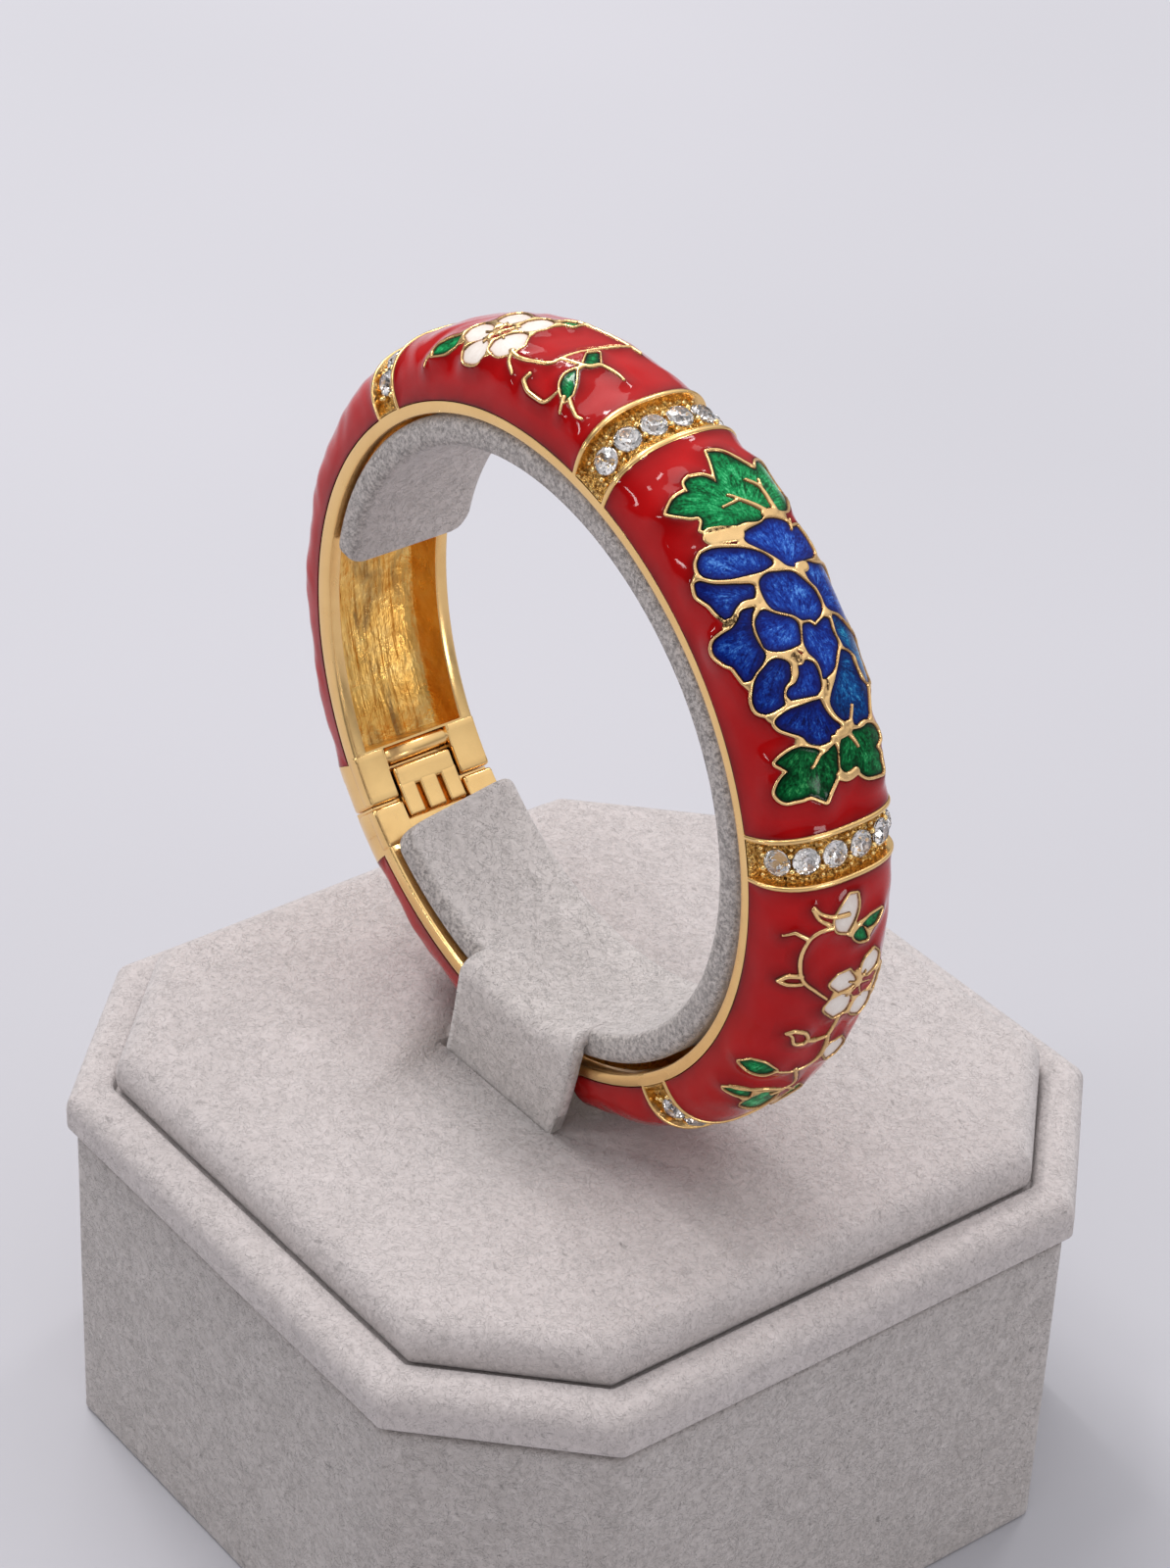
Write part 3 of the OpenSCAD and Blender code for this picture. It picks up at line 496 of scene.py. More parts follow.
class Panel:
    """An enamel field between two bars: its plateau, red ground, gold lines and inlays."""
    STEP, RED_STEP, GOLD_STEP, INLAY_STEP = 0.2, 0.14, 0.08, 0.1

    def __init__(self, name, lo, hi, motif):
        self.name, self.motif = name, motif
        self.x0, self.x1 = to_x(lo), to_x(hi)
        self.px = np.arange(self.x0 - 1, self.x1 + 1.2, self.STEP)
        self.pv = np.arange(-10, 10.1, self.STEP)
        X, W = np.meshgrid(self.px, self.pv, indexing="ij")
        P = np.stack([X.ravel(), W.ravel()], 1)
        self.up = blur(motif.uplift(P).reshape(X.shape), 2)

    def plateau(self, X, W):
        i = np.clip((X - self.px[0]) / self.STEP, 0, len(self.px) - 1.001)
        j = np.clip((W - self.pv[0]) / self.STEP, 0, len(self.pv) - 1.001)
        a, b = i.astype(int), j.astype(int)
        s, t = i - a, j - b
        low = (1 - t) * self.up[a, b] + t * self.up[a, b + 1]
        high = (1 - t) * self.up[a + 1, b] + t * self.up[a + 1, b + 1]
        return (1 - s) * low + s * high

    def grid(self, step, x0=None, x1=None, v0=-HALF + 0.02, v1=HALF - 0.02):
        """Angles, lengths across, both as a grid of lengths, and the same as a list of points."""
        x0, x1, span = x0 or self.x0 + 0.02, x1 or self.x1 - 0.02, (x1 or self.x1) - (x0 or self.x0)
        x = np.linspace(x0, x1, int(span / step) + 1)
        v = np.linspace(v0, v1, int((v1 - v0) / step) + 1)
        X, W = np.meshgrid(x, v, indexing="ij")
        return to_a(x), v, X, W, np.stack([X.ravel(), W.ravel()], 1)

    def red(self, body=FRONT):
        a, v, X, W, P = self.grid(self.RED_STEP)
        both = self.motif.outline_distance(P)
        gold = self.motif.gold(P, both).reshape(X.shape)
        edge = np.minimum(np.minimum(X - self.x0, self.x1 - X), HALF - np.abs(W))
        ways = np.minimum(-gold, edge)
        h = -RED_SINK + RED_CLIMB * np.exp(-np.clip(ways, 0, 9) / CLIMB_OVER) + self.plateau(X, W)
        swell = smoothstep(edge / 3)
        slow = np.sin(X * 0.55 + 1.3 * np.sin(W * 0.5)) * np.cos(W * 0.45 + 0.6 * np.sin(X * 0.31))
        quick = np.sin(X * 1.25 + 1.1 * np.sin(W * 0.9 + 1)) * np.sin(W * 1.05 + 1.2 * np.sin(X * 0.7))
        h += swell * SLOW_WAVE * slow
        h += swell * QUICK_WAVE * quick
        # it dives under the bars, the gold and the inlays
        h -= 0.5 * np.clip(0.10 - edge, 0, 1)
        h -= 1.2 * np.clip(gold, 0, 0.25)
        d1 = both[0].reshape(X.shape)
        h = np.where(d1 < 0.02, h - 0.4, h)
        keep = (d1 > 0.03) & (gold < 0.16)
        o = relief("enamel_" + self.name, a, v, h, keep, RED, {"ways": np.clip(ways, 0, 3)})
        finish_piece(o, body, "enamel_red", "red_" + self.name)

    def gold_lines(self):
        drawn = np.concatenate(self.motif.closed + [c for *_, c in self.motif.lines])
        lo, hi = drawn.min(0) - 0.9, drawn.max(0) + 0.9
        a, v, X, W, P = self.grid(self.GOLD_STEP, max(self.x0, lo[0]), min(self.x1, hi[0]),
                                  max(-HALF, lo[1]), min(HALF, hi[1]))
        g = self.motif.gold(P, self.motif.outline_distance(P)).reshape(X.shape)
        u = np.clip(g / 0.2, 0, 1)
        h = -0.05 + 0.17 * np.sqrt(1 - (1 - u) ** 2) + 3.2 * np.minimum(g, 0) + self.plateau(X, W)
        h += 0.015 * np.sin(X * 5.1 + 2 * np.sin(W * 3.3)) * u
        # low places of the gold: sunk here, and given painted shade in the material
        low_shade = np.zeros(len(P))
        for w, c in self.motif.low_shade:
            low_shade = np.maximum(low_shade, np.clip(stroke(P, c, w, w) / 0.12, 0, 1))
        low_shade = low_shade.reshape(X.shape)
        rough = blur(np.random.default_rng(5).normal(0, 1, X.shape), 1)
        h += low_shade * (0.10 * rough - 0.06)
        attrs = {"ways": np.clip(g, -1, 1), "low_shade": low_shade}
        finish_piece(relief("gold_lines_" + self.name, a, v, h, g > -0.10, GOLD_LINE, attrs), FRONT, "gilt")

    def inlay(self, name, outlines, centre, material, slot, nodes=(), tones=None):
        """Coloured enamel inside some outlines, with the run of its streaks as attributes."""
        parts, attrs = [], {"edge": [], "along": [], "fan": [], "tone": []}
        centre = Motif.flat(np.reshape(centre, (1, 2)))[0]
        for nth, outline in enumerate(outlines):
            c = Motif.flat(rounded(outline))
            lo, hi = c.min(0) - 0.3, c.max(0) + 0.3
            a, v, X, W, P = self.grid(self.INLAY_STEP, lo[0], hi[0], lo[1], hi[1])
            d = distance(P, c, True).reshape(X.shape) - self.motif.grow
            deep = np.clip(-d, 0, 9)
            h = -0.07 - 0.05 * (1 - np.exp(-deep / 0.35)) + self.plateau(X, W) - 1.5 * np.clip(d, 0, 1)
            # streaks run out in a fan from the middle of the flower
            mid = c.mean(0)
            way = mid - centre
            way = way / max(np.linalg.norm(way), 0.5)
            base = mid - way * 2.6
            rel = np.stack([X - base[0], W - base[1]], -1)
            along, side = rel @ way, rel @ np.array([-way[1], way[0]])
            fan = np.arctan2(side, np.maximum(along, 0.3)) * 3 + 20 * nth
            tone = np.full(X.shape, tones[nth] if tones else 0.0)
            keep = d < 0.07
            corner = keep[:-1, :-1] & keep[1:, :-1] & keep[:-1, 1:] & keep[1:, 1:]
            A, _ = np.meshgrid(a, v, indexing="ij")
            data = {"edge": deep, "along": along, "fan": fan, "tone": tone}
            p, f, data = used_only(band(A, W, h).reshape(-1, 3), grid_faces(len(a), len(v), corner),
                                   {key: x.ravel() for key, x in data.items()})
            parts.append((p, f))
            for key, rows in attrs.items():
                rows.append(data[key])
        verts, faces = joined(parts)
        o = mesh_object(name, verts, faces, [material], smooth=180,
                        attrs={key: np.concatenate(rows) for key, rows in attrs.items()})
        finish_piece(o, FRONT, slot, *nodes)


# materials
class Look:
    """A Principled material and short ways to add nodes to it."""

    def __init__(self, name, **sockets):
        self.mat = bpy.data.materials.new(name)
        self.mat.use_nodes = True
        self.tree = self.mat.node_tree
        self.tree.nodes.clear()
        self.bsdf = self.node("ShaderNodeBsdfPrincipled")
        out = self.node("ShaderNodeOutputMaterial")
        self.tree.links.new(self.bsdf.outputs[0], out.inputs["Surface"])
        self.point = self.node("ShaderNodeTexCoord").outputs["Object"]
        self.set(**{k.replace("_", " "): v for k, v in sockets.items()})

    def set(self, **sockets):
        for key, value in sockets.items():
            self.put(self.bsdf.inputs[key], value)

    def colour(self, value):
        self.put(self.bsdf.inputs["Base Color"], value)

    def glaze(self, rough, ior):
        """A clear coat that alone reflects."""
        self.set(**{"Coat Weight": 1.0, "Coat Roughness": rough, "Coat IOR": ior, "Specular IOR Level": 0.0})

    def put(self, socket, value):
        if isinstance(value, bpy.types.NodeSocket):
            self.tree.links.new(value, socket)
        elif isinstance(value, tuple) and len(value) == 3 and socket.type == "RGBA":
            socket.default_value = (*value, 1)
        else:
            socket.default_value = value

    def node(self, kind, inputs=(), **props):
        n = self.tree.nodes.new(kind)
        for key, value in props.items():
            setattr(n, key, value)
        for key, value in dict(inputs).items():
            self.put(n.inputs[key], value)
        return n

    def attr(self, name):
        return self.node("ShaderNodeAttribute", attribute_name=name).outputs["Fac"]

    def math(self, op, a, b=0.0, c=0.0):
        return self.node("ShaderNodeMath", {0: a, 1: b, 2: c}, operation=op).outputs[0]

    def times(self, a, b):
        return self.math("MULTIPLY", a, b)

    def about(self, value, middle=0.5):
        return self.math("SUBTRACT", value, middle)

    def noise(self, scale, detail=3.0, rough=0.5, vector=None, warp=0.0):
        inputs = {"Vector": vector or self.point, "Scale": scale, "Detail": detail, "Roughness": rough,
                  "Distortion": warp}
        return self.node("ShaderNodeTexNoise", inputs).outputs["Fac"]

    def cells(self, scale):
        return self.node("ShaderNodeTexVoronoi", {"Vector": self.point, "Scale": scale}).outputs["Distance"]

    def stretch(self, x, y, z, turn=(0, 0, 0)):
        inputs = {"Vector": self.point, "Scale": (x, y, z), "Rotation": turn}
        return self.node("ShaderNodeMapping", inputs).outputs[0]

    def join(self, x, y, z=0.0):
        return self.node("ShaderNodeCombineXYZ", {0: x, 1: y, 2: z}).outputs[0]

    def fit(self, value, lo, hi, new_lo=0.0, new_hi=1.0):
        return self.node("ShaderNodeMapRange", {0: value, 1: lo, 2: hi, 3: new_lo, 4: new_hi}).outputs[0]

    def ramp(self, value, *stops):
        n = self.node("ShaderNodeValToRGB", {0: value})
        r = n.color_ramp
        while len(r.elements) < len(stops):
            r.elements.new(0.5)
        for e, (place, colour) in zip(r.elements, stops):
            e.position, e.color = place, (*colour, 1)
        return n.outputs[0]

    def mix(self, factor, a, b):
        n = self.node("ShaderNodeMix", data_type="RGBA")
        self.put(n.inputs[0], factor)
        self.put(n.inputs[6], a)
        self.put(n.inputs[7], b)
        return n.outputs[2]

    def bump(self, *layers):
        """Stacks bumps: (height, distance in mm), and puts them on the shader."""
        normal = None
        for height, far in layers:
            inputs = {"Height": height, "Distance": far * MM, "Strength": 1.0}
            if normal is not None:
                inputs["Normal"] = normal
            normal = self.node("ShaderNodeBump", inputs).outputs[0]
        self.set(Normal=normal)
        return self


# dark specks of painted shade between the grains, and bright specks of painted glint on them
GRAIN_SHADE, GRAIN_GLINT = (0.20, 0.055, 0.004), (1.0, 0.86, 0.50)
# painted shade along the edges of the gold lines and in their low places
LINE_EDGE_SHADE, LOW_PLACE_SHADE = (0.13, 0.035, 0.010), (0.05, 0.025, 0.012)


def gold_look(name, colour, rough, grain, pits=0.0, mottle=0.25, edged=False):
    """Gilt metal: satin, or granulated where it has pits, with painted shade and glints on its grains, or
    with painted shade at its edges and in its low places where it is a line.
    """
    k = Look(name, Metallic=1.0, Roughness=rough)
    big = k.noise(260, 4, 0.55)
    dark = tuple(c * f for c, f in zip(colour, (0.66, 0.52, 0.38)))
    base = k.mix(k.fit(big, 0.38, 0.75, 0.0, mottle), colour, dark)
    if pits:
        # painted shade between the grains, then painted glints on them
        base = k.mix(k.fit(k.noise(4200, 3, 0.7), 0.56, 0.40, 0.0, 0.9), base, GRAIN_SHADE)
        base = k.mix(k.fit(k.noise(3300, 2, 0.6), 0.60, 0.72, 0.0, 0.9), base, GRAIN_GLINT)
    if edged:
        # painted shade along the edges of a line and in its low places
        base = k.mix(k.fit(k.attr("ways"), 0.0, 0.06, 0.85, 0.0), base, LINE_EDGE_SHADE)
        low_shade = k.times(k.attr("low_shade"), k.fit(k.noise(3800, 3, 0.7), 0.35, 0.55, 0.25, 1.0))
        base = k.mix(low_shade, base, LOW_PLACE_SHADE)
    k.colour(base)
    k.set(Roughness=k.fit(k.noise(900, 4, 0.6), 0.3, 0.8, rough * 0.75, rough * 1.5))
    layers = [(k.noise(1500, 5, 0.65), grain), (k.noise(420, 2, 0.5), grain * 2.2)]
    if pits:
        layers.append((k.math("MINIMUM", k.cells(2100), 0.55), pits))
        layers.append((k.noise(5200, 3, 0.7), pits * 0.6))
    k.bump(*layers)
    return k.mat


def channel_look():
    """Rough cast inside of the bangle with ridges along it."""
    k = Look("gold_cast_inside", Metallic=1.0)
    lumps = k.noise(520, 5, 0.6, warp=0.4)
    ridges = k.noise(1, 3, 0.5, k.stretch(160, 1500, 160), 0.3)
    base = k.ramp(k.noise(330, 5, 0.6),
                  (0.30, (0.72, 0.36, 0.07)), (0.5, (0.94, 0.56, 0.15)), (0.72, (1.0, 0.72, 0.28)))
    patch = k.noise(1, 4, 0.6, k.stretch(150, 420, 150), 0.5)
    k.colour(k.mix(k.fit(patch, 0.54, 0.68, 0.0, 0.75), base, (0.22, 0.13, 0.06)))
    k.set(Roughness=k.fit(lumps, 0.3, 0.7, 0.22, 0.42))
    k.bump((lumps, 0.24), (ridges, 0.22), (k.noise(2400, 3, 0.6), 0.03))
    return k.mat


def red_look():
    """Red enamel, darker near the gold and the bars: partly the deeper tint of thicker enamel where it climbs
    at the gold, partly painted shade along the raised gold.
    """
    k = Look("enamel_red", Roughness=0.3, IOR=1.4)
    k.glaze(0.06, 1.30)
    # darker toward the gold and the bars: deeper tint of thicker enamel, and painted shade along the raised
    # gold
    base = k.ramp(k.fit(k.attr("ways"), 0.0, 1.4),
                  (0.0, (0.09, 0.0002, 0.0005)), (0.12, (0.22, 0.0003, 0.0008)),
                  (0.45, (0.33, 0.0008, 0.0016)), (1.0, (0.41, 0.0012, 0.0022)))
    k.colour(k.mix(k.fit(k.noise(230, 3, 0.5), 0.4, 0.7, 0.0, 0.5), base, (0.52, 0.004, 0.005)))
    k.bump((k.noise(190, 2, 0.5), 0.20), (k.noise(520, 2, 0.4), 0.016))
    return k.mat


PLACES = (0.12, 0.42, 0.68, 0.92)


def inlay_look(name, line, rim, stops, rough=0.3, other=None, third=None, streak=1.0, rim_width=0.5,
               fleck=None):
    """Glassy enamel over a fibrous ground: a dark line at the gold, a tinted rim, streaks and flecks inside.
    The line, the rim and the darkening toward the gold are partly the deeper tint of thicker enamel and
    partly painted shade of its meniscus.

    The stops are its colours from dark to light, and other and third are those of tones 1 and -0.8."""
    k = Look(name, Roughness=rough, IOR=1.4)
    k.glaze(0.07, 1.22)
    edge, along, fan, tone = (k.attr(n) for n in ("edge", "along", "fan", "tone"))
    fibre = k.noise(1.0, 5, 0.66, k.join(k.times(along, 0.9), k.times(fan, 2.6)), 0.9)
    fine = k.noise(1.0, 4, 0.65, k.join(k.times(along, 3.0), k.times(fan, 8.0), 3.0), 0.8)
    cloud, speck = k.noise(640, 4, 0.6), k.noise(4300, 3, 0.6)
    depth = k.fit(edge, 0.05, 0.8)
    value = k.math("MULTIPLY_ADD", k.about(fibre), 1.2 * streak, 0.48)
    for layer, part in ((fine, 0.9), (cloud, 0.9), (speck, 0.7)):
        value = k.math("ADD", value, k.times(k.about(layer), part * streak))
    # darker toward the gold: deeper tint of thicker enamel and painted shade of the meniscus
    value = k.times(value, k.math("MULTIPLY_ADD", depth, 0.5, 0.5))
    base = k.ramp(value, *zip(PLACES, stops))
    if other:
        base = k.mix(k.fit(tone, 0.0, 1.0), base, k.ramp(value, *zip(PLACES, other)))
    if third:
        base = k.mix(k.fit(tone, 0.0, -0.8), base, k.ramp(value, *zip(PLACES, third)))
    if fleck:
        spark = k.times(k.fit(k.noise(5600, 2, 0.5), 0.62, 0.70), k.fit(cloud, 0.46, 0.60))
        spark = k.times(spark, k.fit(tone, 0.0, 0.9, 0.35, 1.0))
        base = k.mix(k.times(spark, depth), base, fleck)
    # tinted rim and dark line at the gold: deeper tint of thicker enamel and painted shade of the meniscus
    base = k.mix(k.fit(edge, 0.05, rim_width, 0.85, 0.0), base, rim)
    k.colour(k.mix(k.fit(edge, 0.03, 0.14, 1.0, 0.0), base, line))
    k.bump((fibre, 0.02 * streak), (k.noise(330, 2, 0.5), 0.04))
    return k.mat


def suede_look(name, colour, dark, curls=1.0, dashes=0.6, waves_by=0.25, edge=None):
    """Microsuede: a short nap with curly light fibres, dark dashes between them and soft waves."""
    k = Look(name, Roughness=0.95)
    k.set(**{"Sheen Weight": 0.35, "Sheen Roughness": 0.5, "Specular IOR Level": 0.05})
    warp, waves, grain = k.noise(170, 3, 0.6), k.noise(430, 4, 0.62, warp=1.2), k.noise(1900, 4, 0.66)
    hair = None
    for scale, shift in ((900, 0.0), (1300, 0.4), (1900, 0.9)):
        way = k.node("ShaderNodeMapping", {"Vector": k.point, "Location": (shift, shift, 0)}).outputs[0]
        line = k.math("ABSOLUTE", k.about(k.noise(scale, 2, 0.5, way, 0.8)))
        line = k.times(k.fit(line, 0.022, 0.004), k.fit(k.noise(scale * 0.9, 1, 0.5, way), 0.46, 0.54))
        hair = line if hair is None else k.math("MAXIMUM", hair, line)
    dash = k.fit(k.noise(1, 3, 0.6, k.stretch(800, 1700, 1400, (0.5, 0.2, 0.7)), 0.6), 0.37, 0.27)
    value = k.math("ADD", k.times(waves, 0.45), k.times(grain, 0.55))
    base = k.mix(k.fit(value, 0.36, 0.62), dark, colour)
    if edge:
        speck = k.fit(k.noise(2600, 3, 0.75), 0.40, 0.58)
        side = k.times(k.attr("cut"), k.fit(k.noise(900, 3, 0.6), 0.3, 0.6, 0.75, 1.0))
        base = k.mix(side, base, k.mix(speck, edge[1], edge[0]))
    base = k.mix(k.times(dash, dashes), base, tuple(0.60 * c for c in dark))
    base = k.mix(k.times(hair, 0.32 * curls), base, tuple(min(0.95, 1.3 * c) for c in colour))
    k.colour(k.mix(k.fit(warp, 0.35, 0.7, 0.0, 0.25), base, dark))
    k.bump((waves, waves_by), (hair, 0.05 * curls), (grain, 0.12))
    return k.mat


def crystal_look():
    k = Look("crystal", Roughness=0.0, IOR=2.1)
    k.set(**{"Transmission Weight": 1.0, "Base Color": (0.975, 0.925, 0.90)})
    return k.mat


def foil_look():
    k = Look("silver_foil", Metallic=1.0, Roughness=0.08)
    k.colour(k.ramp(k.noise(1800, 2, 0.5), (0.35, (0.32, 0.26, 0.22)), (0.65, (0.90, 0.83, 0.77))))
    return k.mat


GOLD = gold_look("gold_satin", (0.97, 0.64, 0.27), 0.21, 0.006)
GOLD_LINE = gold_look("gold_lines", (0.95, 0.63, 0.29), 0.25, 0.012, mottle=0.4, edged=True)
GOLD_GRAIN = gold_look("gold_granulated", (0.99, 0.67, 0.22), 0.22, 0.05, pits=0.30, mottle=0.3)
GOLD_BEAD = gold_look("gold_beads", (0.98, 0.70, 0.30), 0.16, 0.01)
CHANNEL = channel_look()
RED = red_look()
BLUE = inlay_look(
    "enamel_blue", (0.0005, 0.0005, 0.006), (0.008, 0.006, 0.09),
    ((0.0003, 0.002, 0.045), (0.001, 0.010, 0.15), (0.003, 0.034, 0.27), (0.03, 0.15, 0.50)),
    other=((0.002, 0.008, 0.15), (0.007, 0.040, 0.32), (0.024, 0.105, 0.50), (0.12, 0.32, 0.80)),
    third=((0.0, 0.018, 0.09), (0.002, 0.060, 0.21), (0.007, 0.18, 0.38), (0.08, 0.44, 0.60)),
    fleck=(0.10, 0.33, 0.74), streak=1.4)
GREEN = inlay_look(
    "enamel_green", (0.0005, 0.003, 0.001), (0.0005, 0.025, 0.008),
    ((0.0005, 0.052, 0.012), (0.002, 0.18, 0.048), (0.012, 0.34, 0.10), (0.10, 0.54, 0.24)),
    other=((0.0003, 0.012, 0.003), (0.001, 0.045, 0.010), (0.005, 0.12, 0.028), (0.05, 0.30, 0.08)),
    rim_width=0.34, streak=1.5)
WHITE = inlay_look(
    "enamel_white", (0.52, 0.30, 0.20), (0.72, 0.58, 0.50),
    ((0.70, 0.60, 0.54), (0.80, 0.72, 0.66), (0.86, 0.80, 0.75), (0.92, 0.88, 0.85)),
    rough=0.25, streak=0.5, rim_width=0.25)
SUEDE = suede_look("suede", (0.585, 0.525, 0.515), (0.475, 0.425, 0.415), 0.7, 0.8)
SUEDE_WALL = suede_look("suede_wall", (0.545, 0.495, 0.48), (0.395, 0.355, 0.34), 1.0, 0.9, 0.32)
SUEDE_EDGE = suede_look("suede_cut_edge", (0.47, 0.415, 0.39), (0.25, 0.22, 0.205), 0.8, 0.9, 0.12)
SUEDE_STRAP = suede_look("suede_strap", (0.69, 0.625, 0.605), (0.53, 0.48, 0.46), 1.0, 0.7, 0.2,
                         edge=((0.58, 0.52, 0.49), (0.21, 0.185, 0.175)))
CRYSTAL, FOIL = crystal_look(), foil_look()


# the gold frame: closed sections swept round the hole, as (across, outward) points of one side
CROWN_V = HALF * np.sin(np.radians(np.linspace(-90, 90, 41)))
RAIL_SIDE = [(5.92, 0.0), (6.09, 0.05), (6.18, 0.18), (6.22, 0.5), (6.2, 0.90)]
RAIL_LIP, RAIL_PLAIN = [(6.16, 1.02), (6.04, 1.07)], [(6.2, 1.0), (6.2, 1.05)]
CHANNEL_SIDE = [(5.06, 0.0), (4.94, 0.05), (4.9, 0.17), (4.85, 2.9), (4.3, 3.6), (3.2, 3.9)]


def frame_row(a, depth=0.5, drop=0.0, hollow=True, lip=True, pocket=0.0):
    """One closed section of the frame, with the channel or a shallower pocket open to the hole."""
    y, e, ny, ne = section(CROWN_V)
    deep = np.broadcast_to(depth, y.shape)
    cy, ce = y - ny * deep, fuller(a, SIDE + (e - SIDE) * (1 - drop / DOME)) - ne * deep
    side = RAIL_SIDE + (RAIL_LIP if lip else RAIL_PLAIN)
    inner = CHANNEL_SIDE
    if not hollow:
        inner = [CHANNEL_SIDE[0], (4.9, 0.0), (4.7, 0.0), (EAR_IN + 0.06, 0.0),
                 (EAR_IN, 0.06 if pocket else 0.0), (EAR_IN - 0.02, pocket)]
    points = [(-p, q) for p, q in side] + list(zip(cy, ce)) + side[::-1]
    points += inner + [(-p, q) for p, q in inner[::-1]]
    return ring(a, *np.array(points).T)


def row_kinds():
    """Material of each face along a section: 0 rails and crown, 1 channel."""
    outside = 2 * len(RAIL_SIDE + RAIL_LIP) + len(CROWN_V)
    kinds = np.zeros(outside + 2 * len(CHANNEL_SIDE), int)
    kinds[outside + 2:outside + 9] = 1
    return kinds


def loft(rows):
    """Points and faces of a body from closed rows, with capped ends."""
    m = len(rows[0])
    faces = [list(f) for f in grid_faces(len(rows), m, close=True)]
    faces += [list(range(m)), [(len(rows) - 1) * m + k for k in range(m)][::-1]]
    return np.concatenate(rows), faces


def inset(p, by):
    """A closed outline of (y, e) rows moved inward."""
    t = np.roll(p, -1, 0) - np.roll(p, 1, 0)
    n = np.stack([-t[:, 1], t[:, 0]], 1) / np.linalg.norm(t, axis=1)[:, None]
    turn = np.sum(p[:, 0] * np.roll(p[:, 1], -1) - np.roll(p[:, 0], -1) * p[:, 1])
    return p + by * n * (1 if turn > 0 else -1)


def fillet(p, r, n=4):
    """A closed outline with its sharp corners rounded."""
    out = []
    for k in range(len(p)):
        b = p[k]
        u, w = p[k - 1] - b, p[(k + 1) % len(p)] - b
        lu, lw = np.linalg.norm(u), np.linalg.norm(w)
        if math.degrees(math.acos(np.clip(u @ w / lu / lw, -1, 1))) > 140:
            out.append(b)
            continue
        s, e = b + u / lu * min(r, lu / 2), b + w / lw * min(r, lw / 2)
        out += [(1 - t) ** 2 * s + 2 * t * (1 - t) * b + t**2 * e for t in np.linspace(0, 1, n)]
    return np.array(out)


BLOCK_STEP, DEGREES_A_MM = 0.8, math.degrees(1 / 29.5)


def soft_block(outline, lo, hi, r):
    """Rows of a block that runs along the ring from lo to hi, with all its edges rounded."""
    p = fillet(np.array(outline, float), r)
    at = [(lo + r * (1 - math.cos(t)) * DEGREES_A_MM, 0.9 * r * (1 - math.sin(t)))
          for t in np.radians([90, 60, 30, 0])[::-1]]
    rows = at + [(a, 0.0) for a in np.arange(at[-1][0] + BLOCK_STEP, hi - r * DEGREES_A_MM - 0.3, BLOCK_STEP)]
    rows += [(hi + lo - a, i) for a, i in at[::-1]]
    return [ring(a, *inset(p, i).T) for a, i in rows]


def plain_block(y0, y1, e0, e1, lo, hi, r):
    """A rounded block, across from y0 to y1 and outward from e0 to e1."""
    return soft_block([(y0, e0), (y1, e0), (y1, e1), (y0, e1)], lo, hi, r)


FLANK_GROW = 0.02


def flank(side, lo, hi):
    """The band's part beside the hinge tongue, at one side."""
    use = CROWN_V[(CROWN_V > np.interp(EAR_IN + 0.3, DOME_Y, DOME_V)) & (CROWN_V < HALF * 0.985)]
    y, e, _, _ = section(use)
    drop, g = 1 - HINGE_DROP / DOME, FLANK_GROW
    rows = [(EAR_IN, -g), (EAR_IN, SIDE + (np.interp(EAR_IN, DOME_Y, DOME_E) - SIDE) * drop + g)]
    rows += list(zip(y + g, SIDE + (e - SIDE) * drop + g)) + [(HALF_W + g, SIDE), (HALF_W + g, -g)]
    return soft_block([(side * p, q) for p, q in rows], lo, hi, 0.3)


def cheek(side, lo, hi):
    """The low block on each side of the hinge."""
    return plain_block(side * EAR_IN, side * (HALF_W + 0.05), -0.05, 0.95, lo, hi, 0.32)


def casting(name, node, body, runs, blocks):
    """A gilt part: sections along runs of angles, and rounded blocks set into them."""
    rows, solid = [], []
    for lo, hi, kind in runs:
        for a in np.linspace(lo, hi, max(2, int(hi - lo) + 1)):
            rows.append(frame_row(a, **kind))
            solid.append(not kind.get("hollow", True))
    solid = np.array(solid)
    index = np.tile(row_kinds(), (len(rows) - 1, 1))
    index[solid[:-1] & solid[1:]] = 0
    verts, faces = joined([loft(rows)] + [loft(b) for b in blocks])
    index = list(index.ravel()) + [0] * (len(faces) - index.size)
    o = mesh_object(name, verts, faces, [GOLD, CHANNEL], index=index, smooth=42)
    outward_faces(o)
    finish_piece(o, body, "gilt", node)


# widths of the roll beside the tongue and how full it is there
ROLL_AT, ROLL_R, ROLL_OUT, ROLL_MM = 214.0, 0.9, 0.72, 27
ROLL_ROWS = [(-3.3, 0.8), (-3.0, 0.86), (-2.8, 1), (0, 1), (2.8, 1), (3.0, 0.86), (3.3, 0.8)]
FLAT, SUNK = dict(depth=0.0, lip=False), dict(depth=0.0, drop=HINGE_DROP, lip=False)


